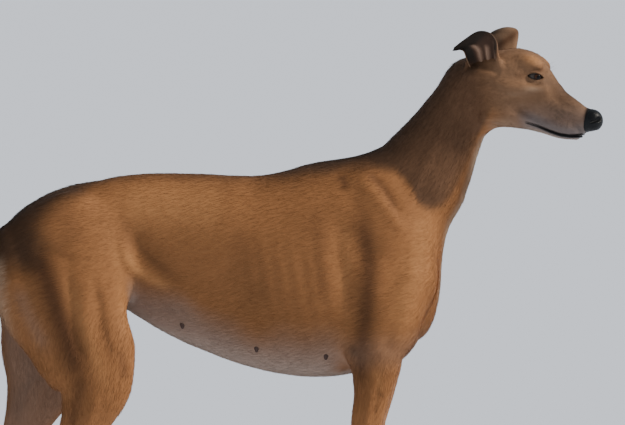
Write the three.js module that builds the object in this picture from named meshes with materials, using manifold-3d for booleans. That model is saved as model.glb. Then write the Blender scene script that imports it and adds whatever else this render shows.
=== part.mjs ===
// A standing greyhound bitch, life size, in millimetres.
// +Z is up, she faces +X, and her right side is at -Y.
// The ground is z = 0, and the origin lies on it under the middle of her length.
// Her body is one rounded form made of tapering limbs and muscles that flow into each other.
// Each part of it is a slice of that form, parted from its neighbour by a thin gap.
import * as THREE from 'three'
import { mergeVertices } from 'three/addons/utils/BufferGeometryUtils.js'
import Module from 'manifold-3d'

const wasm = await Module()
wasm.setup()

const gap = 0.3 // between parts that meet
const overlap = 5 // how far a form runs past a meeting plane before it is cut there
const wholeSize = 900 // a block of this size takes in all of her on one side of a plane
const originShift = 4 // brings the middle of her length over the origin

const waistLevel = 478 // hind legs start here
const elbowLevel = 372 // forelegs start here
const forePawLevel = 50 // a forepaw starts here
const hindPawLevel = 48 // a hind paw starts here
const tailRootX = -478 // the tail starts here
const foreToeLength = 40
const hindToeLength = 43
const farHindBack = 96 // how far the left hind leg stands behind the right one
const farForeAhead = 8 // how far the left foreleg stands ahead of the right one

const headYaw = THREE.MathUtils.degToRad(18) // her head turns to the right
const headPivotX = 310 // the head turns about an upright line through the top of the neck
const eyeRadius = 11.5
const eyeCentre = [118, 24, 845]
const eyeOut = new THREE.Vector3(0.42, 0.9, 0.06).normalize()
const noseStart = 201 // where the bare nose begins, ahead of the head's pivot
const noseLevel = 774
const noseTilt = THREE.MathUtils.degToRad(-12)

// Trunk: x, height of the back, height of the belly, half width.
const trunkStations = [
  [-482, 580, 546, 15],
  [-464, 589, 524, 32],
  [-432, 613, 506, 48],
  [-388, 643, 496, 58],
  [-340, 667, 490, 61],
  [-295, 679, 482, 60],
  [-250, 686, 464, 57],
  [-200, 688, 437, 62],
  [-150, 687, 411, 70],
  [-100, 684, 389, 79],
  [-50, 683, 369, 86],
  [0, 686, 355, 91],
  [50, 698, 349, 93],
  [100, 706, 353, 91],
  [150, 704, 366, 82],
  [195, 684, 384, 66],
  [225, 650, 420, 48],
]
const widestLevel = 0.52 // share of the trunk's height at which it is widest

// Neck: x, z, depth to the nape and to the throat, half width, from inside the chest to inside the skull.
const neckStations = [
  [150, 600, 88, 98, 66],
  [213, 667, 80, 90, 59],
  [238, 702, 73, 80, 52],
  [266, 749, 60, 66, 45],
  [290, 794, 49, 57, 40],
  [318, 838, 37, 46, 37],
]

// Right hind leg: x, z, radius to the front, to the rear and to each side, distance from the middle.
const hindStations = [
  [-384, 566, 78, 70, 36, 44],
  [-366, 530, 98, 92, 43, 51],
  [-357, 477, 103, 104, 45, 54],
  [-335, 420, 88, 88, 43, 58],
  [-318, 379, 81, 80, 41, 62],
  [-308, 335, 62, 64, 36, 66],
  [-317, 295, 45, 48, 31, 67],
  [-334, 258, 34, 36, 25, 66],
  [-354, 215, 23, 28, 18, 64],
  [-371, 182, 19, 30, 15.5, 62],
  [-386, 152, 20, 25, 17, 61],
  [-391, 120, 15, 17, 14, 61],
  [-386, 75, 13, 14, 13, 61],
  [-378, 38, 15, 15, 17, 61],
]

// Right foreleg from the point of the shoulder down, in the same order.
const foreStations = [
  [226, 508, 30, 40, 30, 54],
  [192, 446, 42, 48, 33, 62],
  [160, 400, 42, 46, 31, 65],
  [152, 362, 38, 38, 27, 64],
  [147, 321, 31, 30, 24, 62],
  [138, 272, 26, 26, 21, 61],
  [134, 215, 20, 20, 18, 60],
  [131, 165, 17, 18, 16, 59],
  [131, 134, 19, 19, 18.5, 59],
  [129, 105, 15, 16, 15, 59],
  [133, 70, 13, 14, 16, 59],
  [141, 38, 15, 15, 18, 59],
]

// Tail, hanging: x, z, radius. It starts inside the rump.
const tailStations = [
  [-456, 584, 17],
  [-478, 578, 17],
  [-492, 566, 16],
  [-501, 543, 14.5],
  [-505, 505, 13],
  [-505, 450, 11.5],
  [-503, 390, 10],
  [-501, 330, 8.6],
  [-500, 275, 7.2],
  [-503, 235, 6],
  [-512, 205, 5],
  [-527, 188, 3.6],
]

// Parts of the head, in its own frame: x ahead of the pivot, y to the side, z above the ground.
const craniumStations = [
  [-8, 828, 36, 44, 35],
  [28, 842, 40, 50, 45],
  [60, 845, 46, 52, 50],
  [90, 843, 48, 48, 45],
  [112, 830, 38, 40, 33],
  [130, 813, 26, 32, 24],
]
const muzzleStations = [
  [100, 818, 35, 30, 30],
  [128, 802, 36.5, 36, 25],
  [156, 788, 32.5, 32, 21.5],
  [182, 777, 27, 27, 19.5],
  [200, 773, 21.5, 20, 17],
]
const jawStations = [
  [42, 792, 25, 30, 36],
  [74, 784, 20, 24, 33],
  [104, 775, 15, 18.5, 27],
  [130, 766, 12, 15.5, 21],
  [156, 757, 10, 14, 17.5],
  [181, 753, 8, 12, 13.5],
]
const mouthLine = [[101, 772], [122, 765], [141, 757], [160, 751], [176, 749], [192, 750], [214, 756]]

// Nostrils: x, distance from the middle, z, half height, half width, from the opening inwards.
const nostrilStations = [
  [229, 6, 778, 3.6, 2.6],
  [221, 9.5, 776, 3.8, 2.8],
  [213, 14, 773, 2.6, 2],
  [207, 20, 770.5, 1.3, 1.2],
]

// Meeting planes that lean: a point on each in the middle of the body, and its direction.
const neckBase = plane(217, 670, 52)
const headBase = plane(320, 810, 17)

// The head is sliced square to a line that runs forwards and down through it.
const headAxisTilt = THREE.MathUtils.degToRad(-22)
const headAxis = new THREE.Vector3(Math.cos(headAxisTilt), 0, Math.sin(headAxisTilt))
const headStart = new THREE.Vector3(0, 0, 838)
const headSpokes = 36
const headStops = [...spread(-60, 42, 8), ...spread(49, 84, 6), ...spread(93, 206, 14)]

// The right ear's shell, from its root up and over its fold to its tip. Each row holds the x and z
// of its front edge and of its rear edge, its distance from the middle, its depth and its thickness.
const earStations = [
  [69, 862, 14, 854, 33, 17, 4.2],
  [70, 884, 8, 873, 42, 18, 3.8],
  [66, 905, 7, 882, 48, 16, 3.4],
  [53, 918, 5, 887, 52, 13, 3],
  [30, 920, -1, 889, 54, 10, 2.8],
  [7, 907, -8, 888, 55, 6, 2.6],
  [-11, 894, -14, 888, 55, 2.6, 2.2],
]
const earArc = THREE.MathUtils.degToRad(105) // an ear's cup closes this far to each side
const leftEarLift = 5 // the left ear stands a little higher

// Teats: x, and distance from the middle.
const teatRows = [
  [128, 34],
  [72, 38],
  [-42, 38],
  [-164, 34],
  [-226, 30],
]

// Toes: each one's distance from the paw's middle, and how far ahead of the outer toes it reaches.
const toes = [
  [-17, 0],
  [-6.2, 8],
  [6.2, 8],
  [17, 0],
]

// Trunk cut away where each leg's own solid starts, as x0, x1, y0, y1, z0, z1.
const hindRoom = [-700, -249, -200, 200, 0, waistLevel]
const rightForeRoom = [109, 240, -200, -33, 0, elbowLevel]
const leftForeRoom = [109, 240, 33, 200, 0, elbowLevel]

const coat = { color: 0x9a6a3c, roughness: 0.75 }
const darkCoat = { color: 0x6e4a2c, roughness: 0.75 }
const leather = { color: 0x15130f, roughness: 0.45 }
const eyeGloss = { color: 0x20120a, roughness: 0.08 }

function plane(x, z, degrees) {
  const angle = THREE.MathUtils.degToRad(degrees)
  const normal = new THREE.Vector3(Math.cos(angle), 0, Math.sin(angle))
  return { point: new THREE.Vector3(x, 0, z), normal }
}

// A smooth curve through rows of numbers, as rows set close together.
function throughRows(rows, steps = 6) {
  const dense = []
  for (let i = 0; i < rows.length - 1; i++) {
    const before = rows[Math.max(i - 1, 0)]
    const after = rows[Math.min(i + 2, rows.length - 1)]
    for (let step = 0; step < steps; step++) {
      const t = step / steps
      dense.push(rows[i].map((value, k) => catmullRom(before[k], value, rows[i + 1][k], after[k], t)))
    }
  }
  dense.push([...rows[rows.length - 1]])
  return dense
}

function catmullRom(a, b, c, d, t) {
  const bend = 2 * a - 5 * b + 4 * c - d
  const twist = -a + 3 * b - 3 * c + d
  return 0.5 * (2 * b + (c - a) * t + bend * t * t + twist * t * t * t)
}

// A tapering limb along rows of [x, y, z, front, rear, side]. Front is up for a limb that runs forwards.
function limb(rows, caps = [20, 20]) {
  const dense = throughRows(rows)
  const count = dense.length
  const tangents = dense.map((row, i) => {
    const a = dense[Math.max(i - 1, 0)]
    const b = dense[Math.min(i + 1, count - 1)]
    return new THREE.Vector3(b[0] - a[0], b[1] - a[1], b[2] - a[2]).normalize()
  })
  return { dense, tangents, caps }
}

const nearest = { index: 0, t: 0, gap: 0 }

function findNearest(shape, x, y, z) {
  nearest.gap = Infinity
  for (let i = 0; i < shape.dense.length - 1; i++) {
    const a = shape.dense[i]
    const b = shape.dense[i + 1]
    const dx = b[0] - a[0]
    const dy = b[1] - a[1]
    const dz = b[2] - a[2]
    const along = (x - a[0]) * dx + (y - a[1]) * dy + (z - a[2]) * dz
    const t = Math.min(Math.max(along / (dx * dx + dy * dy + dz * dz), 0), 1)
    const away = (x - a[0] - t * dx) ** 2 + (y - a[1] - t * dy) ** 2 + (z - a[2] - t * dz) ** 2
    if (away < nearest.gap) {
      nearest.gap = away
      nearest.index = i
      nearest.t = t
    }
  }
}

function limbDistance(shape, x, y, z) {
  findNearest(shape, x, y, z)
  const { index, t } = nearest
  const a = shape.dense[index]
  const b = shape.dense[index + 1]
  const mix = (k) => a[k] + (b[k] - a[k]) * t
  const ta = shape.tangents[index]
  const tb = shape.tangents[index + 1]
  const tx = ta.x + (tb.x - ta.x) * t
  const ty = ta.y + (tb.y - ta.y) * t
  const tz = ta.z + (tb.z - ta.z) * t
  const flat = Math.hypot(tx, tz)
  const qx = x - mix(0)
  const qy = y - mix(1)
  const qz = z - mix(2)
  const along = (qx * tx + qy * ty + qz * tz) / Math.hypot(tx, ty, tz)
  const front = (-qx * tz + qz * tx) / flat
  const side = Math.sqrt(Math.max(qx * qx + qy * qy + qz * qz - along * along - front * front, 0))
  const atStart = index === 0 && t === 0
  const atEnd = index === shape.dense.length - 2 && t === 1
  const past = atStart || atEnd ? along : 0
  const cap = atStart ? shape.caps[0] : shape.caps[1]
  const frontShare = front / mix(front > 0 ? 3 : 4)
  const share = Math.hypot(frontShare, side / mix(5), past / cap)
  const away = Math.hypot(front, side, past)
  return share < 1e-6 ? -mix(5) : away * (1 - 1 / share)
}

// A muscle: an ellipsoid whose long way is turned down by pitch degrees, from +X.
function muscle(x, y, z, rx, ry, rz, pitch = 0) {
  const angle = THREE.MathUtils.degToRad(pitch)
  return { x, y, z, rx, ry, rz, c: Math.cos(angle), s: Math.sin(angle) }
}

function muscleDistance(m, x, y, z) {
  const qx = x - m.x
  const qz = z - m.z
  const a = qx * m.c - qz * m.s
  const b = qx * m.s + qz * m.c
  const qy = y - m.y
  const share = Math.hypot(a / m.rx, qy / m.ry, b / m.rz)
  return share < 1e-6 ? -Math.min(m.rx, m.ry, m.rz) : Math.hypot(a, qy, b) * (1 - 1 / share)
}

function join(a, b, blend) {
  const near = Math.max(blend - Math.abs(a - b), 0) / blend
  return Math.min(a, b) - (near * near * blend) / 4
}

const trunk = limb(
  trunkStations.map(([x, back, belly, half]) => {
    const middle = belly + widestLevel * (back - belly)
    return [x, 0, middle, back - middle, middle - belly, half]
  }),
  [6, 40],
)
const neck = limb(neckStations.map(([x, z, nape, throat, wide]) => [x, 0, z, nape, throat, wide]), [40, 24])
const cranium = limb(craniumStations.map(([x, z, up, down, side]) => [x, 0, z, up, down, side]), [24, 14])
const muzzle = limb(muzzleStations.map(([x, z, up, down, side]) => [x, 0, z, up, down, side]), [14, 8])
const jaw = limb(jawStations.map(([x, z, up, down, side]) => [x, 0, z, up, down, side]), [16, 11])
const cheekBone = limb(
  [[130, 25, 830, 8, 9, 7], [104, 41, 826, 8, 9, 8], [74, 47, 828, 8, 9, 8], [46, 42, 834, 8, 9, 8]],
  [8, 8],
)
const nosePad = muscle(207, 0, 774, 20, 17.5, 19, 12)
const cheek = muscle(56, 33, 812, 36, 17, 37, -12)
const brow = muscle(110, 25, 868, 21, 13, 10, 22)
const flew = muscle(163, 13, 762, 33, 10, 13, 14)
const socket = muscle(122, 46, 845, 18, 13, 12, 10)
const noseLeather = 0.6

const breast = muscle(188, 0, 500, 68, 60, 112)
const shoulderBlade = muscle(186, 55, 600, 112, 25, 50, 63)
const triceps = muscle(152, 62, 478, 84, 27, 58, 74)
const croup = muscle(-392, 34, 592, 78, 40, 40, -32)
const flank = muscle(-316, 44, 556, 96, 26, 52, 62)
const buttock = muscle(-440, 34, 532, 54, 30, 34, 78)

function farShift(z, start, end, most) {
  const t = Math.min(Math.max((start - z) / (start - end), 0), 1)
  return most * t * t * (3 - 2 * t)
}

function hindLegRows(side) {
  const back = side > 0 ? farHindBack : 0
  return hindStations.map(([x, z, front, rear, half, out]) => {
    return [x - farShift(z, 530, 300, back), side * out, z, front, rear, half]
  })
}

function foreLegRows(side) {
  const ahead = side > 0 ? farForeAhead : 0
  return foreStations.map(([x, z, front, rear, half, out]) => {
    return [x + farShift(z, 480, 330, ahead), side * out, z, front, rear, half]
  })
}

const hindLegs = { right: limb(hindLegRows(-1), [36, 14]), left: limb(hindLegRows(1), [36, 14]) }
const foreLegs = { right: limb(foreLegRows(-1), [26, 14]), left: limb(foreLegRows(1), [26, 14]) }
const tail = limb(tailStations.map(([x, z, r]) => [x, 0, z, r, r, r]), [10, 4])

function heelOf(side) {
  const back = side > 0 ? farHindBack : 0
  return muscle(-409 - back, side * 61, 169, 17, 8, 9.5, 74)
}

function elbowOf(side) {
  const ahead = side > 0 ? farForeAhead : 0
  return muscle(125 + ahead, side * 64, 386, 24, 12, 15, 68)
}

function wristPadOf(side) {
  const ahead = side > 0 ? farForeAhead : 0
  return muscle(113 + ahead, side * 59, 119, 8, 8, 10)
}

const heels = { right: heelOf(-1), left: heelOf(1) }
const elbows = { right: elbowOf(-1), left: elbowOf(1) }
const wristPads = { right: wristPadOf(-1), left: wristPadOf(1) }

function headDistance(x, y, z) {
  const side = Math.abs(y)
  let d = limbDistance(cranium, x, y, z)
  d = join(d, limbDistance(muzzle, x, y, z), 22)
  d = join(d, limbDistance(jaw, x, y, z), 9)
  d = join(d, muscleDistance(cheek, x, side, z), 22)
  d = join(d, limbDistance(cheekBone, x, side, z), 14)
  d = join(d, muscleDistance(brow, x, side, z), 14)
  d = join(d, muscleDistance(flew, x, side, z), 9)
  d = -join(-d, muscleDistance(socket, x, side, z), 8)
  d = join(d, muscleDistance(nosePad, x, y, z) - noseLeather, 5)
  return d
}

function toHead(x, y) {
  const c = Math.cos(headYaw)
  const s = Math.sin(headYaw)
  return [(x - headPivotX) * c - y * s, (x - headPivotX) * s + y * c]
}

function fromHead(x, y) {
  const c = Math.cos(headYaw)
  const s = Math.sin(headYaw)
  return [headPivotX + x * c + y * s, -x * s + y * c]
}

function neckAndHead(x, y, z) {
  let d = limbDistance(neck, x, y, z)
  if (z > 690 && x > 215) {
    const [hx, hy] = toHead(x, y)
    d = join(d, headDistance(hx, hy, z), 34)
  }
  return d
}

function hindLegDistance(name, x, y, z) {
  const d = limbDistance(hindLegs[name], x, y, z)
  return z < 260 ? join(d, muscleDistance(heels[name], x, y, z), 14) : d
}

function foreLegDistance(name, x, y, z) {
  let d = limbDistance(foreLegs[name], x, y, z)
  if (z > 320) {
    d = join(d, muscleDistance(elbows[name], x, y, z), 16)
  }
  if (z < 180) {
    d = join(d, muscleDistance(wristPads[name], x, y, z), 8)
  }
  return d
}

// The body without its head, with the part of each leg above the level where the leg's own solid starts.
function bodyDistance(x, y, z) {
  const side = Math.abs(y)
  const name = y < 0 ? 'right' : 'left'
  let d = limbDistance(trunk, x, y, z)
  if (x > 40) {
    d = join(d, limbDistance(neck, x, y, z), 46)
    d = join(d, muscleDistance(breast, x, y, z), 30)
    d = join(d, muscleDistance(shoulderBlade, x, side, z), 34)
    d = join(d, muscleDistance(triceps, x, side, z), 24)
    d = z > elbowLevel - overlap ? join(d, foreLegDistance(name, x, y, z), 26) : d
  }
  if (x < -150) {
    d = join(d, muscleDistance(croup, x, side, z), 30)
    d = join(d, muscleDistance(flank, x, side, z), 34)
    d = join(d, muscleDistance(buttock, x, side, z), 24)
    d = z > waistLevel - overlap ? join(d, hindLegDistance(name, x, y, z), 26) : d
    d = join(d, limbDistance(tail, x, y, z), 14)
  }
  return d
}

// How far a spoke runs from a point inside a form to its first way out.
function spokeLength(form, start, way, most) {
  const at = (r) => form(start.x + way.x * r, start.y + way.y * r, start.z + way.z * r)
  let low = 0
  let high = 0.5
  while (high < most && at(high) < 0) {
    low = high
    high += Math.max(1.5, -at(low) * 0.6)
  }
  for (let i = 0; i < 14; i++) {
    const middle = (low + high) / 2
    if (at(middle) < 0) {
      low = middle
    } else {
      high = middle
    }
  }
  return Math.min((low + high) / 2, most)
}

// A closed skin through rings of points, with a fan at each end.
function skinOver(rings, startPoint, endPoint) {
  const count = rings[0].length
  const points = [startPoint, ...rings.flat(), endPoint]
  const index = []
  const at = (ring, i) => 1 + ring * count + (i % count)
  for (let i = 0; i < count; i++) {
    index.push(0, at(0, i + 1), at(0, i))
    index.push(points.length - 1, at(rings.length - 1, i), at(rings.length - 1, i + 1))
    for (let ring = 0; ring < rings.length - 1; ring++) {
      index.push(at(ring, i), at(ring, i + 1), at(ring + 1, i + 1))
      index.push(at(ring, i), at(ring + 1, i + 1), at(ring + 1, i))
    }
  }
  return solidOf(points, index)
}

function solidOf(points, index) {
  let volume = 0
  const cross = new THREE.Vector3()
  for (let i = 0; i < index.length; i += 3) {
    volume += points[index[i]].dot(cross.crossVectors(points[index[i + 1]], points[index[i + 2]]))
  }
  const facing = volume > 0 ? index : index.toReversed()
  const vertProperties = new Float32Array(points.flatMap((p) => [p.x, p.y, p.z]))
  const mesh = new wasm.Mesh({ numProp: 3, vertProperties, triVerts: new Uint32Array(facing) })
  mesh.merge()
  return new wasm.Manifold(mesh)
}

// Slices of a form in parallel planes, joined into a solid. centreAt gives each slice's middle.
// A rounded end runs on from the last slice to the form's own tip.
function sliceForm(form, axis, stops, spokes, centreAt, most, roundedEnd = false) {
  const up = Math.abs(axis.z) > 0.9 ? new THREE.Vector3(1, 0, 0) : new THREE.Vector3(0, 0, 1)
  const across = new THREE.Vector3().crossVectors(up, axis).normalize()
  const rise = new THREE.Vector3().crossVectors(axis, across).normalize()
  const centres = stops.map(centreAt)
  const rings = centres.map((centre) => {
    const ring = []
    for (let i = 0; i < spokes; i++) {
      const angle = (2 * Math.PI * i) / spokes
      const way = across.clone().multiplyScalar(Math.cos(angle)).addScaledVector(rise, Math.sin(angle))
      ring.push(centre.clone().addScaledVector(way, spokeLength(form, centre, way, most)))
    }
    return ring
  })
  const last = centres[centres.length - 1].clone()
  if (roundedEnd) {
    last.addScaledVector(axis, spokeLength(form, last, axis, most))
  }
  return skinOver(rings, centres[0], last)
}

// A tube along rows of [x, y, z, up, down, side], with rings square to its path.
function sweep(rows, spokes, steps, outward) {
  const dense = throughRows(rows, steps)
  const rings = dense.map((row, i) => {
    const a = dense[Math.max(i - 1, 0)]
    const b = dense[Math.min(i + 1, dense.length - 1)]
    const way = new THREE.Vector3(b[0] - a[0], b[1] - a[1], b[2] - a[2]).normalize()
    const across = new THREE.Vector3().crossVectors(outward, way).normalize()
    const rise = new THREE.Vector3().crossVectors(way, across).normalize()
    const ring = []
    for (let k = 0; k < spokes; k++) {
      const angle = (2 * Math.PI * (k + 0.5)) / spokes
      const height = Math.sin(angle) * (Math.sin(angle) > 0 ? row[3] : row[4])
      const point = new THREE.Vector3(row[0], row[1], row[2])
      ring.push(point.addScaledVector(across, Math.cos(angle) * row[5]).addScaledVector(rise, height))
    }
    return ring
  })
  const start = new THREE.Vector3(...dense[0].slice(0, 3))
  const end = new THREE.Vector3(...dense[dense.length - 1].slice(0, 3))
  return skinOver(rings, start, end)
}

function solidFrom(geometry) {
  const bare = geometry.clone()
  bare.deleteAttribute('normal')
  bare.deleteAttribute('uv')
  const merged = mergeVertices(bare, 1e-4)
  const vertProperties = new Float32Array(merged.attributes.position.array)
  const triVerts = new Uint32Array(merged.index.array)
  return new wasm.Manifold(new wasm.Mesh({ numProp: 3, vertProperties, triVerts }))
}

function block(x0, x1, y0, y1, z0, z1) {
  const geometry = new THREE.BoxGeometry(x1 - x0, y1 - y0, z1 - z0)
  geometry.translate((x0 + x1) / 2, (y0 + y1) / 2, (z0 + z1) / 2)
  return solidFrom(geometry)
}

// A large block on one side of a meeting plane, which reaches half a gap past it.
function blockBeyond({ point, normal }, sign) {
  const geometry = new THREE.BoxGeometry(wholeSize, wholeSize, wholeSize)
  geometry.translate((sign * (wholeSize - gap)) / 2, 0, 0)
  geometry.applyQuaternion(new THREE.Quaternion().setFromUnitVectors(new THREE.Vector3(1, 0, 0), normal))
  return geometry.translate(point.x, point.y, point.z)
}

function largest(solid) {
  const pieces = solid.decompose()
  return pieces.reduce((best, piece) => (piece.volume() > best.volume() ? piece : best))
}

function meshOf(name, solid, look) {
  const { numProp, vertProperties, triVerts } = largest(solid).getMesh()
  const geometry = new THREE.BufferGeometry()
  const position = new Float32Array((vertProperties.length / numProp) * 3)
  for (let i = 0; i < position.length / 3; i++) {
    position.set(vertProperties.subarray(i * numProp, i * numProp + 3), i * 3)
  }
  geometry.setAttribute('position', new THREE.BufferAttribute(position, 3))
  geometry.setIndex(new THREE.BufferAttribute(new Uint32Array(triVerts), 1))
  const mesh = new THREE.Mesh(geometry, new THREE.MeshStandardMaterial({ metalness: 0, ...look }))
  mesh.name = name
  return mesh
}

function spread(from, to, count) {
  return Array.from({ length: count }, (unused, i) => from + ((to - from) * i) / (count - 1))
}

// The middle of a limb where it crosses a given value of one coordinate.
function middleAt(shape, axisIndex, value) {
  const { dense } = shape
  for (let i = 0; i < dense.length - 1; i++) {
    const a = dense[i][axisIndex]
    const b = dense[i + 1][axisIndex]
    if ((value - a) * (value - b) <= 0 && a !== b) {
      const t = (value - a) / (b - a)
      return new THREE.Vector3(...[0, 1, 2].map((k) => dense[i][k] + (dense[i + 1][k] - dense[i][k]) * t))
    }
  }
  const last = (value - dense[0][axisIndex]) * (dense[dense.length - 1][axisIndex] - dense[0][axisIndex]) < 0
  const end = last ? dense[0] : dense[dense.length - 1]
  const point = new THREE.Vector3(end[0], end[1], end[2])
  return point.setComponent(axisIndex, value)
}

function addTeats(torso) {
  const down = new THREE.Vector3(0, 0, -1)
  let result = torso
  for (const [x, out] of teatRows) {
    for (const side of [-1, 1]) {
      const start = middleAt(trunk, 0, x).setY(side * out)
      const way = new THREE.Vector3(0, side * 0.35, -1).normalize()
      const skin = start.clone().addScaledVector(way, spokeLength(bodyDistance, start, down, 300))
      const root = skin.clone().addScaledVector(way, -7)
      const tip = skin.clone().addScaledVector(way, 6)
      const rows = [[...root, 6, 6, 6], [...skin, 5, 5, 5], [...tip, 3, 3, 3]]
      result = result.add(sweep(rows, 6, 1, new THREE.Vector3(1, 0, 0)))
    }
  }
  return result
}

function makeTorso() {
  const axis = new THREE.Vector3(1, 0, 0)
  const stops = [...spread(tailRootX, -450, 4), ...spread(-432, 242, 34), 252, 261, 269, 276, 283]
  const centreAt = (x) => {
    const chest = THREE.MathUtils.smoothstep(x, 60, 290)
    const rump = THREE.MathUtils.smoothstep(-x, 240, 330)
    const height = middleAt(trunk, 0, Math.min(x, 60)).z
    return new THREE.Vector3(x, 0, height + chest * 105 + rump * (572 - height) * (x > -470 ? 1 : 0))
  }
  let torso = sliceForm(bodyDistance, axis, stops, 36, centreAt, 330, true)
  for (const room of [hindRoom, rightForeRoom, leftForeRoom]) {
    torso = torso.subtract(block(...room))
  }
  torso = torso.subtract(solidFrom(blockBeyond(neckBase, 1)))
  return meshOf('torso', addTeats(largest(torso)), coat)
}

function makeNeck() {
  const axis = neckBase.normal
  const start = neckBase.point
  const length = 230
  const centreAt = (t) => {
    const guess = start.clone().addScaledVector(axis, t)
    const lean = THREE.MathUtils.clamp(t / length, 0, 1)
    return guess.add(new THREE.Vector3(-14 * lean, 0, 12 * lean))
  }
  const form = (x, y, z) => Math.min(bodyDistance(x, y, z), neckAndHead(x, y, z))
  const solid = sliceForm(form, axis, spread(gap / 2, length, 16), 28, centreAt, 150)
  return meshOf('neck', solid.subtract(solidFrom(blockBeyond(headBase, 1))), coat)
}

function headForm(grow) {
  return (x, y, z) => {
    const [gx, gy] = fromHead(x, y)
    return neckAndHead(gx, gy, z) - grow
  }
}

function headCentreAt(t) {
  const lift = THREE.MathUtils.smoothstep(t, 0, 60) * THREE.MathUtils.smoothstep(220 - t, 0, 150) * 4
  return headStart.clone().addScaledVector(headAxis, t).add(new THREE.Vector3(0, 0, lift))
}

function eyeFrame(side) {
  const out = new THREE.Vector3(eyeOut.x, side * eyeOut.y, eyeOut.z)
  const along = new THREE.Vector3(eyeOut.y, -side * eyeOut.x, -0.16).normalize()
  const rise = new THREE.Vector3().crossVectors(along, out).normalize()
  if (rise.z < 0) {
    rise.negate()
  }
  const centre = new THREE.Vector3(eyeCentre[0], side * eyeCentre[1], eyeCentre[2])
  return { out, along, rise, centre }
}

// A lid: half of an almond outline that lies over the eyeball.
function lid(side, upper) {
  const { out, along, rise, centre } = eyeFrame(side)
  const half = 14
  const height = upper ? 6.6 : -5.2
  const rows = spread(-half, half, 7).map((u) => {
    const v = height * (1 - (u / half) ** 2) ** 0.8
    const proud = 10.6 - 0.032 * u * u
    const point = centre.clone().addScaledVector(out, proud)
    point.addScaledVector(along, u).addScaledVector(rise, v)
    return [...point, 2.4, 2.4, upper ? 2.6 : 2.1]
  })
  return sweep(rows, 6, 1, out)
}

function lip(side, upper) {
  const rows = mouthLine.slice(0, 6).map(([x, z], i) => {
    const level = z + (upper ? 2.1 : -2.3)
    const start = new THREE.Vector3(x, 0, level)
    const out = new THREE.Vector3(0, side, 0)
    const reach = spokeLength(headForm(0), start, out, 60)
    const thick = [1.4, 2.2, 2.6, 2.6, 2.4, 1.6][i]
    return [x, side * (reach - 0.9), level, thick, thick, thick * 0.9]
  })
  return sweep(rows, 6, 1, new THREE.Vector3(0, 0, 1))
}

function mouthSlit() {
  const half = 0.55
  const shape = new THREE.Shape()
  mouthLine.forEach(([x, z], i) => (i ? shape.lineTo(x, z + half) : shape.moveTo(x, z + half)))
  mouthLine.toReversed().forEach(([x, z]) => shape.lineTo(x, z - half))
  const geometry = new THREE.ExtrudeGeometry(shape, { depth: 80, bevelEnabled: false })
  geometry.translate(0, 0, -40)
  geometry.rotateX(Math.PI / 2)
  return solidFrom(geometry)
}

function eyeBall(side, radius) {
  const { centre, out } = eyeFrame(side)
  const geometry = new THREE.SphereGeometry(radius, 14, 8)
  geometry.rotateX(Math.PI / 2)
  const turn = new THREE.Quaternion().setFromUnitVectors(new THREE.Vector3(0, 0, 1), out)
  geometry.applyQuaternion(turn)
  geometry.translate(centre.x, centre.y, centre.z)
  return geometry
}

function makeHead() {
  const stops = [...headStops, 213, 219]
  let head = sliceForm(headForm(0), headAxis, stops, headSpokes, headCentreAt, 140)
  head = head.subtract(solidFrom(blockBeyond(headBase, -1).translate(-headPivotX, 0, 0).rotateZ(headYaw)))
  for (const side of [-1, 1]) {
    head = head.add(lip(side, true)).add(lip(side, false))
    head = head.add(lid(side, true)).add(lid(side, false))
    head = head.subtract(solidFrom(eyeBall(side, eyeRadius + gap)))
  }
  return meshOf('head', head.subtract(mouthSlit()).subtract(noseSide()), coat)
}

function noseSide() {
  const geometry = new THREE.BoxGeometry(60, 120, 120)
  geometry.translate(30 - gap / 2, 0, 0)
  geometry.rotateY(-noseTilt)
  geometry.translate(noseStart, 0, noseLevel)
  return solidFrom(geometry)
}

function makeNose() {
  const axis = new THREE.Vector3(Math.cos(noseTilt), 0, Math.sin(noseTilt))
  const stops = [gap / 2, 4, 9, 14, 18, 21.5, 24, 25.2]
  const centreAt = (t) => new THREE.Vector3(noseStart, 0, noseLevel).addScaledVector(axis, t)
  let nose = sliceForm(headForm(0), axis, stops, 20, centreAt, 60, true)
  for (const side of [-1, 1]) {
    const rows = nostrilStations.map(([x, out, z, r, flat]) => [x, side * out, z, r, r, flat])
    nose = nose.subtract(sweep(rows, 6, 2, new THREE.Vector3(0, 0, 1)))
  }
  return meshOf('nose', nose.subtract(mouthSlit()), leather)
}

function earShell(side) {
  const outward = new THREE.Vector3(0.1, side, 0.2).normalize()
  const arc = spread(-earArc, earArc, 9)
  const points = []
  for (const [frontX, frontZ, rearX, rearZ, out, depth, thick] of earStations) {
    const front = new THREE.Vector3(frontX, side * out, frontZ)
    const rear = new THREE.Vector3(rearX, side * out, rearZ)
    const wide = front.clone().sub(rear)
    const half = wide.length() / 2
    wide.normalize()
    const deep = outward.clone().addScaledVector(wide, -outward.dot(wide)).normalize().negate()
    for (const wall of [0, 1]) {
      for (const angle of arc) {
        const point = front.clone().add(rear).multiplyScalar(0.5)
        point.z += side > 0 ? leftEarLift : 0
        point.addScaledVector(wide, (half - wall * thick) * Math.sin(angle))
        point.addScaledVector(deep, (depth - wall * thick) * Math.cos(angle) - depth * 0.3)
        points.push(point)
      }
    }
  }
  return shellSolid(points, earStations.length, arc.length)
}

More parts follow.
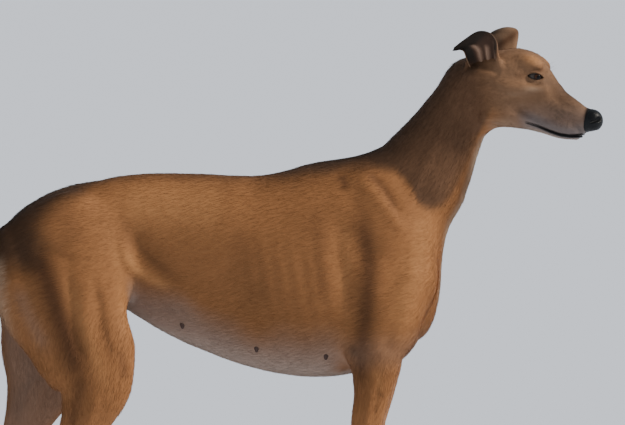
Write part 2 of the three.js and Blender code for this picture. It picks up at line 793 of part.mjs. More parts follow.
// Rings that each hold an outer arc and an inner arc, joined into a thick open cup.
function shellSolid(points, ringCount, arcCount) {
  const index = []
  const quad = (a, b, c, d) => index.push(a, b, c, a, c, d)
  const at = (ring, wall, i) => (ring * 2 + wall) * arcCount + i
  const last = ringCount - 1
  for (let i = 0; i < arcCount - 1; i++) {
    quad(at(0, 0, i), at(0, 1, i), at(0, 1, i + 1), at(0, 0, i + 1))
    quad(at(last, 0, i), at(last, 0, i + 1), at(last, 1, i + 1), at(last, 1, i))
  }
  for (let ring = 0; ring < last; ring++) {
    for (let i = 0; i < arcCount - 1; i++) {
      quad(at(ring, 0, i), at(ring, 0, i + 1), at(ring + 1, 0, i + 1), at(ring + 1, 0, i))
      quad(at(ring, 1, i), at(ring + 1, 1, i), at(ring + 1, 1, i + 1), at(ring, 1, i + 1))
    }
    const end = arcCount - 1
    quad(at(ring, 0, 0), at(ring + 1, 0, 0), at(ring + 1, 1, 0), at(ring, 1, 0))
    quad(at(ring, 0, end), at(ring, 1, end), at(ring + 1, 1, end), at(ring + 1, 0, end))
  }
  return solidOf(points, index)
}

function makeEars() {
  const clear = sliceForm(headForm(gap), headAxis, headStops, headSpokes, headCentreAt, 140)
  return [-1, 1].map((side) => {
    const name = side < 0 ? 'ear_right' : 'ear_left'
    return meshOf(name, earShell(side).subtract(clear), darkCoat)
  })
}

function makeEyes() {
  return [-1, 1].map((side) => {
    return meshOf(side < 0 ? 'eye_right' : 'eye_left', solidFrom(eyeBall(side, eyeRadius)), eyeGloss)
  })
}

function makeLeg(name, form, shape, top, bottom, count, spokes) {
  const axis = new THREE.Vector3(0, 0, -1)
  const centreAt = (z) => middleAt(shape, 2, z)
  const stops = spread(top - gap, bottom + gap / 2, count)
  return meshOf(name, sliceForm(form, axis, stops, spokes, centreAt, 140), coat)
}

function toeSolid(out, ahead, length) {
  const far = length + ahead
  const rows = [
    [-6, out * 0.6, 36, 10, 13, 8],
    [far * 0.34, out * 0.95, 31, 9.5, 13, 8.2],
    [far * 0.66, out, 20, 9.5, 13, 8],
    [far * 0.87, out, 11, 7, 17, 7.4],
    [far, out, 8.5, 4, 12, 4.6],
  ]
  return sweep(rows, 8, 1, new THREE.Vector3(0.3, 0, 1))
}

function clawSolid(out, ahead, length) {
  const far = length + ahead
  const rows = [
    [far - 8, out, 12, 3.4, 3.4, 3],
    [far + 3, out, 9.5, 2.8, 2.8, 2.4],
    [far + 9, out, 4, 1, 1, 0.9],
  ]
  return sweep(rows, 5, 1, new THREE.Vector3(0.4, 0, 1))
}

function makePaw(length, shape, level) {
  const foot = middleAt(shape, 2, level)
  const centreAt = (z) => middleAt(shape, 2, z).sub(new THREE.Vector3(foot.x, foot.y, 0))
  const form = (x, y, z) => limbDistance(shape, x + foot.x, y + foot.y, z)
  const stops = [level - gap / 2, 44, 37, 30]
  let paw = sliceForm(form, new THREE.Vector3(0, 0, -1), stops, 12, centreAt, 60)
  const pad = [[-9, 0, 30, 7, 7, 10], [-7, 0, 17, 9, 12, 13], [8, 0, 12, 14, 14, 16], [22, 0, 9, 9, 11, 12]]
  paw = paw.add(sweep(pad, 8, 1, new THREE.Vector3(0.3, 0, 1)))
  for (const [out, ahead] of toes) {
    paw = paw.add(toeSolid(out, ahead, length)).add(clawSolid(out, ahead, length))
  }
  return { solid: paw.subtract(block(-200, 200, -100, 100, -100, 0)), foot }
}

function placePaw(name, length, shape, level) {
  const { solid, foot } = makePaw(length, shape, level)
  const mesh = meshOf(name, solid, coat)
  mesh.position.set(foot.x, foot.y, 0)
  return mesh
}

function makeTail() {
  const rows = tailStations.map(([x, z, r]) => [x, 0, z, r, r, r])
  const solid = sweep(rows, 8, 2, new THREE.Vector3(0, 1, 0))
  return meshOf('tail', solid.subtract(block(tailRootX - gap, 0, -90, 90, 400, 700)), coat)
}

const greyhound = new THREE.Group()
const head = new THREE.Group()
head.add(makeHead(), makeNose(), ...makeEars(), ...makeEyes())
head.rotation.z = -headYaw
head.position.x = headPivotX
greyhound.add(makeTorso(), makeNeck(), makeTail(), head)
for (const name of ['right', 'left']) {
  const fore = (x, y, z) => foreLegDistance(name, x, y, z)
  const hind = (x, y, z) => hindLegDistance(name, x, y, z)
  greyhound.add(makeLeg(`foreleg_${name}`, fore, foreLegs[name], elbowLevel, forePawLevel, 18, 14))
  greyhound.add(makeLeg(`hindleg_${name}`, hind, hindLegs[name], waistLevel, hindPawLevel, 24, 18))
  greyhound.add(placePaw(`forepaw_${name}`, foreToeLength, foreLegs[name], forePawLevel))
  greyhound.add(placePaw(`hindpaw_${name}`, hindToeLength, hindLegs[name], hindPawLevel))
}
greyhound.position.x = originShift

export default greyhound
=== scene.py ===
import math

import bpy
import bmesh
import numpy as np
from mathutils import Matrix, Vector


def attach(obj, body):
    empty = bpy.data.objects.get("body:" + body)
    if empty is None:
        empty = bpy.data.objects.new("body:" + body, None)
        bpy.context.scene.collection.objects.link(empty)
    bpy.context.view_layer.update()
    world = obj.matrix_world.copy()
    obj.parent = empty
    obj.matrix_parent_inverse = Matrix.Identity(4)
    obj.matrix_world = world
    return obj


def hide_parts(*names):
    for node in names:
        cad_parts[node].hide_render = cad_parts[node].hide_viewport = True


# A greyhound bitch standing with her head turned a little to her right.
# The forms are worked out in millimetres, in the same places as her solids, and become metres at the end.

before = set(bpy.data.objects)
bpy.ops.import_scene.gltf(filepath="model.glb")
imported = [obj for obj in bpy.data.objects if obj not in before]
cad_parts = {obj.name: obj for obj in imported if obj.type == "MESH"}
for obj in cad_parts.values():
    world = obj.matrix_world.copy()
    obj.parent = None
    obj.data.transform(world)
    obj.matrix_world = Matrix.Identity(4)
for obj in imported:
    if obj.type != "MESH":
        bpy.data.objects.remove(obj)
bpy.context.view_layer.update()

originShift = np.array([4.0, 0.0, 0.0])  # mm, from the forms' own zero to the middle of her length
headYaw = math.radians(18)  # her head turns to the right
headPivotX = 310


def toWorld(points):
    return (np.asarray(points, float) + originShift) / 1000


def addObject(name, data):
    thing = bpy.data.objects.new(name, data)
    bpy.context.scene.collection.objects.link(thing)
    return thing


print("frame loaded")

cameraSetup = {
    "target": (0.054, 0.0, 0.6207),  # m, what the middle of the picture shows
    "width": 1.031,  # m of her length that the picture takes in
    "distance": 12.0,
    "elevation": math.radians(2.0),
}


def makeCamera(setup):
    data = bpy.data.cameras.new("camera")
    data.sensor_width = 36
    data.lens = 36 * setup["distance"] / setup["width"]
    data.clip_end = 2000
    camera = addObject("camera", data)
    lift = setup["elevation"]
    back = Vector((0, -math.cos(lift), math.sin(lift))) * setup["distance"]
    camera.location = Vector(setup["target"]) + back
    camera.rotation_euler = (math.pi / 2 - lift, 0, 0)
    bpy.context.scene.camera = camera


makeCamera(cameraSetup)


# rounded forms: the distance to each one is below zero inside it
def throughRows(rows, steps=6):  # a smooth curve through rows of numbers, as rows set close together
    rows = np.array(rows, float)
    last = len(rows) - 1
    dense = []
    for i in range(last):
        a, b, c, d = rows[max(i - 1, 0)], rows[i], rows[i + 1], rows[min(i + 2, last)]
        bend = 2 * a - 5 * b + 4 * c - d
        twist = -a + 3 * b - 3 * c + d
        for step in range(steps):
            t = step / steps
            dense.append(0.5 * (2 * b + (c - a) * t + bend * t * t + twist * t ** 3))
    dense.append(rows[last])
    return np.array(dense)


def smoothstep(value, low, high):
    t = np.clip((value - low) / (high - low), 0, 1)
    return t * t * (3 - 2 * t)


def unit(v):
    return v / np.maximum(np.linalg.norm(v, axis=-1, keepdims=True), 1e-9)


class Limb:  # rows of x, y, z, front, rear, side; front is up for a limb that runs forwards

    def __init__(self, rows, caps=(20, 20), steps=6):
        self.dense = throughRows(rows, steps)
        spine = self.dense[:, :3]
        ahead = np.vstack([spine[1:], spine[-1:]])
        behind = np.vstack([spine[:1], spine[:-1]])
        self.tangents = ahead - behind
        self.tangents /= np.linalg.norm(self.tangents, axis=1)[:, None]
        self.caps = caps
        reach = self.dense[:, 3:6].max() + max(caps)
        self.low = spine.min(0) - reach
        self.high = spine.max(0) + reach

    def distance(self, points):
        out = np.empty(len(points))
        for start in range(0, len(points), 20000):
            out[start:start + 20000] = self.piece(points[start:start + 20000])
        return out

    def onSegment(self, q, index):  # where on a stretch of the spine each point is nearest
        a = self.dense[index, :3]
        d = self.dense[index + 1, :3] - a
        t = np.clip(((q - a) * d).sum(1) / (d * d).sum(1), 0, 1)
        return t, ((q - a - t[:, None] * d) ** 2).sum(1)

    def piece(self, q):
        spine = self.dense[:, :3]
        nearest = ((spine * spine).sum(1) - 2 * q @ spine.T).argmin(1)
        before, after = np.maximum(nearest - 1, 0), np.minimum(nearest, len(spine) - 2)
        tBefore, awayBefore = self.onSegment(q, before)
        tAfter, awayAfter = self.onSegment(q, after)
        index = np.where(awayBefore < awayAfter, before, after)
        t = np.where(awayBefore < awayAfter, tBefore, tAfter)[:, None]
        row = self.dense[index] * (1 - t) + self.dense[index + 1] * t
        tangent = self.tangents[index] * (1 - t) + self.tangents[index + 1] * t
        flat = np.hypot(tangent[:, 0], tangent[:, 2]) + 1e-9
        rel = q - row[:, :3]
        along = (rel * tangent).sum(1) / np.linalg.norm(tangent, axis=1)
        front = (-rel[:, 0] * tangent[:, 2] + rel[:, 2] * tangent[:, 0]) / flat
        side = np.sqrt(np.maximum((rel * rel).sum(1) - along ** 2 - front ** 2, 0))
        t = t[:, 0]
        atStart = (index == 0) & (t == 0)
        atEnd = (index == len(spine) - 2) & (t == 1)
        past = np.where(atStart | atEnd, along, 0)
        cap = np.where(atStart, self.caps[0], self.caps[1])
        frontShare = front / np.where(front > 0, row[:, 3], row[:, 4])
        share = np.sqrt(frontShare ** 2 + (side / row[:, 5]) ** 2 + (past / cap) ** 2)
        reach = np.sqrt(front ** 2 + side ** 2 + past ** 2)
        return np.where(share < 1e-6, -row[:, 5], reach * (1 - 1 / np.maximum(share, 1e-6)))


class Muscle:  # an ellipsoid, its long way turned down by pitch degrees from +X

    def __init__(self, x, y, z, rx, ry, rz, pitch=0):
        self.centre = np.array([x, y, z], float)
        self.radii = (rx, ry, rz)
        self.c = math.cos(math.radians(pitch))
        self.s = math.sin(math.radians(pitch))
        self.low = self.centre - max(self.radii)
        self.high = self.centre + max(self.radii)

    def distance(self, q):
        x, y, z = (q - self.centre).T
        a = x * self.c - z * self.s
        b = x * self.s + z * self.c
        rx, ry, rz = self.radii
        share = np.sqrt((a / rx) ** 2 + (y / ry) ** 2 + (b / rz) ** 2)
        reach = np.sqrt(a * a + y * y + b * b)
        return np.where(share < 1e-6, -min(self.radii), reach * (1 - 1 / np.maximum(share, 1e-6)))


def join(a, b, blend):
    near = np.maximum(blend - np.abs(a - b), 0) / blend
    return np.minimum(a, b) - near * near * blend / 4


def addForm(d, points, form, blend, grow=0.0, cut=False):
    room = blend + 14
    near = np.all((points > form.low - room) & (points < form.high + room), axis=1)
    if near.any():
        value = form.distance(points[near]) - grow
        d[near] = -join(-d[near], value, blend) if cut else join(d[near], value, blend)


def mirrored(points):
    folded = points.copy()
    folded[:, 1] = np.abs(folded[:, 1])
    return folded


# her body's measures, in mm
farAway = 60.0  # stands for any distance past the reach of the blends
farHindBack, farForeAhead = 96, 8  # how far the left legs stand behind and ahead of the right ones
widestLevel = 0.52  # share of the trunk's height at which it is widest

trunkStations = [  # x, back, belly, half width
    (-482, 580, 546, 15), (-464, 589, 524, 32), (-432, 613, 506, 48), (-388, 643, 496, 58),
    (-340, 667, 490, 61), (-295, 679, 482, 60), (-250, 686, 464, 57), (-200, 688, 437, 62),
    (-150, 687, 411, 70), (-100, 684, 389, 79), (-50, 683, 369, 86), (0, 690, 355, 91),
    (50, 702, 349, 93), (100, 708, 353, 91), (150, 704, 366, 82), (195, 684, 384, 66), (225, 650, 420, 48),
]
neckStations = [  # x, z, to the nape, to the throat, half width
    (150, 600, 88, 98, 66), (213, 667, 80, 90, 59), (238, 702, 73, 80, 52),
    (266, 749, 60, 66, 45), (290, 794, 49, 57, 40), (318, 838, 37, 46, 37),
]
hindStations = [  # x, z, front, rear, side, out
    (-384, 566, 78, 70, 36, 44), (-366, 530, 98, 92, 43, 51), (-357, 477, 103, 104, 45, 54),
    (-335, 420, 88, 88, 43, 58), (-318, 379, 81, 80, 41, 62), (-308, 335, 62, 64, 36, 66),
    (-317, 295, 45, 48, 31, 67), (-334, 258, 34, 36, 25, 66), (-354, 215, 23, 28, 18, 64),
    (-371, 182, 19, 30, 15.5, 62), (-386, 152, 20, 25, 17, 61), (-391, 120, 15, 17, 14, 61),
    (-386, 75, 13, 14, 13, 61), (-378, 38, 15, 15, 17, 61),
]
foreStations = [
    (214, 508, 26, 40, 30, 54), (188, 446, 40, 47, 33, 61), (160, 400, 42, 46, 31, 65),
    (152, 362, 38, 38, 27, 64), (147, 321, 31, 30, 24, 62), (138, 272, 26, 26, 21, 61),
    (134, 215, 20, 20, 18, 60), (131, 165, 17, 18, 16, 59), (131, 134, 19, 19, 18.5, 59),
    (129, 105, 15, 16, 15, 59), (133, 70, 13, 14, 16, 59), (141, 38, 15, 15, 18, 59),
]
tailStations = [  # x, z, radius
    (-462, 576, 19), (-482, 563, 17.5), (-497, 540, 15), (-505, 502, 12.8), (-505, 450, 11.5),
    (-503, 390, 10), (-501, 330, 8.6), (-500, 275, 7.2), (-503, 235, 6), (-512, 205, 5), (-527, 188, 3.6),
]
toes = [(-17, 0), (-6.2, 8), (6.2, 8), (17, 0)]  # out from the paw's middle, ahead of the outer toes
paws = {"fore": {"stand": (141, 59), "length": 40}, "hind": {"stand": (-378, 61), "length": 43}}

# Her head, in its own frame: x ahead of the pivot, y to the side, z above the ground.
craniumStations = [
    (-8, 828, 36, 44, 35), (28, 842, 40, 50, 45), (60, 845, 46, 52, 50),
    (90, 843, 48, 48, 45), (112, 830, 38, 40, 33), (130, 813, 26, 32, 24),
]
muzzleStations = [
    (100, 818, 35, 30, 30), (128, 802, 36.5, 36, 25), (156, 788, 32.5, 32, 21.5),
    (182, 777, 27, 27, 19.5), (200, 773, 21.5, 20, 17),
]
jawStations = [
    (42, 792, 25, 30, 36), (74, 784, 20, 24, 33), (104, 775, 15, 18.5, 27),
    (130, 766, 12, 15.5, 21), (156, 757, 10, 14, 17.5), (181, 753, 8, 12, 13.5),
]
mouthLine = [(101, 772), (122, 765), (141, 757), (160, 751), (176, 749), (192, 750), (214, 756)]
eyeCentre = np.array([118.0, 24.0, 845.0])
eyeOut = unit(np.array([0.42, 0.9, 0.06]))  # from the middle of the eyeball through the gap of the lids
eyeAlong = unit(np.array([eyeOut[1], -eyeOut[0], -0.16]))
eyeRise = unit(np.cross(eyeAlong, eyeOut))
eyeRadius = 11.5

# Lines on her side that stand out or sink in: x and z along each one, height, half width,
# and how far from her middle it starts.
sideLines = [
    ([(-405, 568), (-372, 556), (-331, 538)], -2.0, 13, 14),
    ([(-352, 540), (-345, 480), (-338, 425), (-318, 372)], -3.6, 11, 20),
    ([(-303, 505), (-299, 455), (-290, 400)], -2.6, 11, 20),
    ([(-318, 520), (-320, 460), (-312, 400)], 2.2, 12, 20),
    ([(-420, 520), (-405, 460), (-380, 400), (-340, 345)], -2.6, 10, 20),
    ([(-264, 590), (-252, 546), (-226, 514), (-188, 494)], 3.4, 10, 18),
    ([(-246, 600), (-226, 562), (-198, 534), (-160, 512)], -2.8, 13, 18),
    ([(-330, 655), (-318, 640)], 1.0, 15, 14),
    ([(124, 690), (160, 645), (207, 588)], 3.0, 11, 18),
    ([(146, 692), (176, 650), (200, 606)], -2.6, 9, 18),
    ([(104, 660), (136, 612), (172, 566)], -1.2, 13, 18),
    ([(96, 610), (92, 560), (104, 500), (118, 430)], -4.0, 14, 24),
    ([(214, 570), (190, 520), (166, 480)], -1.6, 12, 22),
    ([(168, 560), (150, 500), (140, 440)], 1.2, 15, 24),
    ([(196, 480), (178, 430), (172, 392)], -1.6, 11, 20),
    ([(118, 420), (140, 392), (152, 376)], -2.2, 9, 24),
    ([(232, 655), (262, 715), (290, 780)], -3.4, 11, 10),
    ([(205, 640), (232, 690), (262, 745), (292, 800)], 2.5, 10, 10),
    # on the legs
    ([(-343, 300), (-356, 258), (-370, 220), (-381, 188)], -5.3, 7.5, 16),
    ([(-300, 330), (-318, 280), (-342, 225)], 2.5, 8, 16),
    ([(-383, 150), (-388, 110), (-385, 75)], -2.5, 4.5, 16),
    ([(160, 350), (152, 300), (143, 240), (137, 180)], -2.5, 6, 16),
    ([(138, 352), (134, 300), (130, 240), (126, 180)], -2.0, 5, 16),
    ([(131, 110), (134, 70)], -1.6, 4, 16),
]


def heightOn(line, x):
    return np.interp(x, *zip(*line))


def farShift(z, start, end, most):
    return most * smoothstep(-z, -start, -end)


def hindShift(z, side):
    return farShift(z, 530, 300, farHindBack) * (side > 0)


def foreShift(z, side):
    return farShift(z, 480, 330, farForeAhead) * (side > 0)


def legOf(stations, side, shift, caps):
    return Limb([(x + shift(z, side), side * out, z, front, rear, half)
                 for x, z, front, rear, half, out in stations], caps)


def centred(stations, caps):
    return Limb([(x, 0, z, up, down, side) for x, z, up, down, side in stations], caps)


def trunkForm(stations):  # its middle line is evened out, so that the back's small rises stay as they are
    x, back, belly, half = np.array(stations, float).T
    middle = belly + widestLevel * (back - belly)
    for _ in range(6):
        middle[5:-1] = (middle[4:-2] + 2 * middle[5:-1] + middle[6:]) / 4
    return Limb(np.stack([x, 0 * x, middle, back - middle, middle - belly, half], 1), (6, 36))


trunk = trunkForm(trunkStations)
neck = centred(neckStations, (40, 24))
tail = Limb([(x, 0, z, r, r, r) for x, z, r in tailStations], (10, 4))
hindLegs = [legOf(hindStations, side, lambda z, s: -hindShift(z, s), (36, 14)) for side in (-1, 1)]
foreLegs = [legOf(foreStations, side, foreShift, (26, 14)) for side in (-1, 1)]

cranium = centred(craniumStations, (24, 14))
muzzle = centred(muzzleStations, (14, 8))
jaw = centred(jawStations, (16, 11))
cheekBone = Limb([
    (130, 25, 830, 8, 9, 7), (104, 41, 826, 8, 9, 8), (74, 47, 828, 8, 9, 8), (46, 42, 834, 8, 9, 8),
], (8, 8))

earRoot = [  # x, out, z, radius of the fleshy rim round the root of each ear, from front to rear
    (60, 46, 888, 2.4), (61.5, 45, 874, 4.4), (63, 42, 858, 6.0), (61, 43, 842, 6.0), (50, 45, 834, 5.5),
    (32, 43, 833, 5.5), (17, 37, 840, 5.5), (10, 37, 854, 4.5), (7, 42, 870, 2.6),
]
earRim = Limb([(x, out, z, r, r, r) for x, out, z, r in earRoot], (2, 2))

nostrilStations = [  # x, out, z, half height, half width, from the opening inwards
    (232, 6.5, 778, 4.2, 3.0), (224, 9, 776.5, 4.0, 3.1), (216, 13, 773.5, 2.8, 2.2),
    (208, 19, 770.5, 1.5, 1.3), (202, 24, 768, 0.9, 0.9),
]
nostril = Limb([(x, out, z, r, r, flat) for x, out, z, r, flat in nostrilStations], (3, 2), 5)


def standOf(kind, side):  # where a paw stands: the left ones are moved along
    x, y = paws[kind]["stand"]
    return x + (farForeAhead if kind == "fore" else -farHindBack) * (side > 0), side * y


def pawToes(kind, side):  # every toe of one paw, as short bent limbs over a pad
    standX, standY = standOf(kind, side)
    length = paws[kind]["length"]
    rows = []
    for out, ahead in toes:
        far = length + ahead
        shape = [
            (-6, out * 0.6, 36, 10, 13, 8), (far * 0.34, out * 0.95, 31, 9.5, 13, 8.2),
            (far * 0.66, out, 20, 9.5, 13, 8), (far * 0.87, out, 11, 7, 11, 7.4),
            (far, out, 8.5, 4, 8.5, 4.6),
        ]
        rows.append(Limb([(standX + x, standY + y, *rest) for x, y, *rest in shape], (8, 3), 4))
    pad = Limb([(standX - 9, standY, 30, 7, 7, 10), (standX - 7, standY, 17, 9, 12, 13),
                (standX + 8, standY, 12, 14, 12, 16), (standX + 22, standY, 9, 9, 9, 12)], (6, 6), 4)
    return rows, pad


pawForms = [pawToes(kind, side) for kind in ("fore", "hind") for side in (-1, 1)]


def fadeEnds(share, reach):  # 1 along the middle of a path, falling to 0 at both ends
    return smoothstep(share, 0, reach) * smoothstep(1 - share, 0, reach)


def pathDistance(q, path, steps=6):  # how far points are from a path, and where along it, 0 to 1
    dense = throughRows(path, steps)
    a, d = dense[:-1], dense[1:] - dense[:-1]
    t = np.clip(((q[:, None] - a) * d).sum(2) / (d * d).sum(1), 0, 1)
    away = np.linalg.norm(q[:, None] - a - t[..., None] * d, axis=2)
    nearest = away.argmin(1)
    return away.min(1), (nearest + t[np.arange(len(q)), nearest]) / len(a)


def nearPath(q, path, room, steps=6):  # which points are near a path, how far from it, and where along it
    near = np.all((q > np.min(path, 0) - room) & (q < np.max(path, 0) + room), axis=1)
    return near, *pathDistance(q[near], path, steps)


def lineBump(points, shiftedX):  # how far the side lines lift or sink the skin
    total = np.zeros(len(points))
    out = np.abs(points[:, 1])
    flat = np.stack([shiftedX, points[:, 2]], 1)
    for path, height, width, start in sideLines:
        near, away, share = nearPath(flat, path, width * 2.4, 5)
        bell = np.exp(-(away / width) ** 2) * (fadeEnds(share, 0.22) * 0.85 + 0.15)
        total[near] += height * bell * smoothstep(out[near], start * 0.4, start * 1.4)
    return total


faceForms = [  # what both sides of her head carry, and how softly it blends in
    (Muscle(56, 33, 812, 36, 17, 37, -12), 22),  # cheek
    (cheekBone, 14),
    (Muscle(110, 25, 868, 21, 13, 10, 22), 14),  # brow
    (earRim, 9),
    (Muscle(36, 42, 850, 26, 12, 14), 7),  # floor of the ear
    (Muscle(163, 13, 762, 33, 10, 13, 14), 9),  # upper lip
]
eyeSocket = Muscle(122, 46, 845, 18, 13, 12, 10)
noseTip = Muscle(207, 0, 774, 20, 17.5, 19, 12)


def headField(points, folds=True):
    d = np.full(len(points), farAway)
    side = mirrored(points)
    for form, blend in ((cranium, 0.1), (muzzle, 22), (jaw, 9)):
        addForm(d, points, form, blend)
    for form, blend in faceForms:
        addForm(d, side, form, blend)
    addForm(d, side, eyeSocket, 8, cut=True)
    addForm(d, points, noseTip, 5, -0.6)
    if folds:
        d = faceFolds(d, side)
        addForm(d, side, nostril, 1.6, grow=1.5, cut=True)
    return d


lidOpening = {"half": 13.2, "upper": 4.6, "lower": 3.9, "thickness": 1.9}


def lidHeights(u):  # how far the lids part above and below, along the eye
    span = np.clip(1 - (u / lidOpening["half"]) ** 2, 0.0004, 1)
    return lidOpening["upper"] * span ** 0.8, lidOpening["lower"] * span ** 0.9


def almond(u, v):  # below 1 inside the gap between her lids
    top, bottom = lidHeights(u)
    return np.maximum(np.where(v > 0, v / top, -v / bottom), np.abs(u) / lidOpening["half"])


faceBox = ((20, -1, 730), (222, 62, 905))  # the folds lie inside it
faceLines = [  # x, y, z along the line, height, half width
    ([(104, 40, 831), (118, 37, 827), (133, 29, 829)], 1.5, 3.4),  # fold under the eye
    ([(103, 41, 834.5), (118, 38, 832), (132, 29, 834)], -1.2, 2.2),
    ([(100, 40, 856), (116, 37, 858), (131, 28, 853)], -1.6, 2.6),  # crease over the lid
    ([(136, 24, 842), (150, 22, 822), (164, 20.5, 806)], -1.5, 6),  # down from the eye's inner corner
    ([(104, 44, 816), (90, 46, 800), (84, 40, 782)], -1.8, 6),  # front of the cheek
    ([(70, 50, 852), (50, 48, 858), (30, 42, 860)], -2.2, 8),  # temple
    ([(84, 0, 893), (108, 0, 876), (128, 0, 850)], -2.0, 7),  # furrow of the forehead
    ([(132, 18, 822), (160, 17, 803), (188, 16, 789)], -1.2, 5),
]


def faceFolds(d, side):
    near = np.all((side > faceBox[0]) & (side < faceBox[1]), axis=1)
    q, value = side[near], d[near]
    for path, height, width in faceLines:
        close, away, share = nearPath(q, path, width * 2.5)
        value[close] -= height * np.exp(-(away / width) ** 2) * fadeEnds(share, 0.25)
    # the lids lie over the eyeball, and part along an almond
    rel = q - eyeCentre
    u, v, w = rel @ eyeAlong, rel @ eyeRise, rel @ eyeOut
    ball = np.linalg.norm(rel, axis=1) - (eyeRadius + lidOpening["thickness"])
    value = join(value, ball, 5)
    hole = np.maximum((almond(u, v) - 1) * 4.2, 3 - w)
    value = -join(-value, hole, 1.3)
    # the mouth
    away, share = pathDistance(q[:, [0, 2]], mouthLine)
    slit = np.exp(-(away / 1.5) ** 2) * smoothstep(share, 0, 0.06) * smoothstep(q[:, 1], 0, 4)
    value += 3.2 * slit
    above = np.exp(-((away - 3.4) / 2.2) ** 2) * smoothstep(share, 0, 0.1)
    value -= 0.8 * above * smoothstep(q[:, 1], 4, 9)
    result = d.copy()
    result[near] = value
    return result


def turnToHead(points):
    c, s = math.cos(headYaw), math.sin(headYaw)
    x, y = points[:, 0] - headPivotX, points[:, 1]
    return np.stack([x * c - y * s, x * s + y * c, points[:, 2]], 1)


def turnFromHead(points):
    points = np.asarray(points, float)
    c, s = math.cos(headYaw), math.sin(headYaw)
    x, y = points[:, 0], points[:, 1]
    return np.stack([headPivotX + x * c + y * s, -x * s + y * c, points[:, 2]], 1)


# where the forms of each part begin or end
regions = {"rearTo": -150, "foreFrom": -60, "neckFrom": (130, 520), "headFrom": (215, 690), "pawsTo": 70}


def wholeField(points):  # below zero inside her, above zero outside
    x, z = points[:, 0], points[:, 2]
    side = mirrored(points)
    d = np.full(len(points), farAway)
    addForm(d, points, trunk, 0.1)
    back, front = x < regions["rearTo"], x > regions["foreFrom"]
    d[front] = frontForms(d[front], points[front], side[front])
    d[back] = backForms(d[back], points[back], side[back])
    nearNeck = np.all(points[:, [0, 2]] > regions["neckFrom"], axis=1)
    if nearNeck.any():
        q = points[nearNeck]
        e = np.full(len(q), farAway)
        addForm(e, q, neck, 0.1)
        high = np.all(q[:, [0, 2]] > regions["headFrom"], axis=1)
        if high.any():
            e[high] = join(e[high], headField(turnToHead(q[high])), 34)
        d[nearNeck] = np.minimum(d[nearNeck], e)
    low = z < regions["pawsTo"]
    if low.any():
        q = points[low]
        e = d[low]
        for toeForms, pad in pawForms:
            addForm(e, q, pad, 5)
            for toe in toeForms:
                addForm(e, q, toe, 2.2)
        d[low] = e
    return d


chestForm = Muscle(176, 0, 500, 62, 66, 112)
shoulderForms = [
    (Muscle(184, 48, 582, 102, 24, 43, 63), 46),  # shoulder blade
    (Muscle(152, 62, 478, 84, 27, 58, 74), 24),  # upper arm
]


def frontForms(d, points, side):
    addForm(d, points, neck, 46)
    addForm(d, points, chestForm, 40)
    for form, blend in shoulderForms:
        addForm(d, side, form, blend)
    for sign, leg in zip((-1, 1), foreLegs):
        addForm(d, points, leg, 32)
        ahead = farForeAhead * (sign > 0)
        addForm(d, points, Muscle(125 + ahead, sign * 64, 386, 24, 12, 15, 68), 16)  # elbow
        addForm(d, points, Muscle(113 + ahead, sign * 59, 119, 8, 8, 10), 8)  # pad behind the wrist
    shifted = points[:, 0] - foreShift(points[:, 2], np.sign(points[:, 1]))
    d -= lineBump(points, shifted)
    d -= ribs(points)
    return d


rumpForms = [
    (Muscle(-392, 34, 592, 78, 40, 40, -32), 30),  # croup
    (Muscle(-316, 44, 556, 96, 26, 52, 62), 34),  # front of the thigh
    (Muscle(-440, 34, 526, 62, 30, 34, 80), 34),  # buttock
]


def backForms(d, points, side):
    for form, blend in rumpForms:
        addForm(d, side, form, blend)
    for sign, leg in zip((-1, 1), hindLegs):
        addForm(d, points, leg, 26)
        far = sign > 0
        addForm(d, points, Muscle(-440 - 8 * far, sign * 51, 503, 72, 24, 21, 84), 26)  # back of the thigh
        addForm(d, points, Muscle(-409 - farHindBack * far, sign * 61, 169, 17, 8, 9.5, 74), 14)  # heel
    addForm(d, points, tail, 26)
    shifted = points[:, 0] + hindShift(points[:, 2], np.sign(points[:, 1]))
    d -= lineBump(points, shifted)
    return d


ribHeight, ribSpacing, ribSlant = 0.42, 24.0, 0.25


def ribs(points):  # they show through her side, slanting and not quite even
    x, y, z = points.T
    phase = (x + ribSlant * (z - 500)) / ribSpacing + 0.12 * np.sin(z / 33.0)
    mask = smoothstep(-x, -110, -60) * smoothstep(x, -150, -90)
    mask = mask * smoothstep(z, 395, 440) * smoothstep(-z, -600, -520)
    return ribHeight * np.sin(phase * 2 * math.pi) * mask * smoothstep(np.abs(y), 30, 60)


# a mesh over the forms
skinSetup = {
    "coatDepth": 1.0,  # mm of the solids' surface that belongs to the hair
    "cell": 6.0,  # mm
    "finer": 3,  # each cell is divided by this in the boxes below
    "low": (-528, -102, 0), "high": (532, 102, 906), "margin": 14,
    "boxes": [
        ((282, -92, 730), (540, 68, 932)),  # head
        ((108, -98, -8), (216, -20, 62)), ((116, 20, -8), (224, 98, 62)),  # forepaws
        ((-412, -100, -8), (-306, -22, 62)), ((-508, 22, -8), (-402, 100, 62)),  # hind paws
    ],
}


def gridPoints(origin, cell, shape):
    axes = [origin[k] + cell * np.arange(shape[k]) for k in range(3)]
    return np.stack(np.meshgrid(*axes, indexing="ij"), -1).reshape(-1, 3)


def bandValues(field, origin, cell, shape, every=3):  # exact near the surface, rough away from it
    roughShape = (np.array(shape) - 2) // every + 2
    rough = field(gridPoints(origin, cell * every, roughShape)).reshape(roughShape)
    nearest = [np.minimum((np.arange(n) + every // 2) // every, m - 1) for n, m in zip(shape, roughShape)]
    values = rough[np.ix_(*nearest)]
    near = np.argwhere(np.abs(values) < 2 * every * cell)
    values[tuple(near.T)] = field(origin + cell * near)
    return values


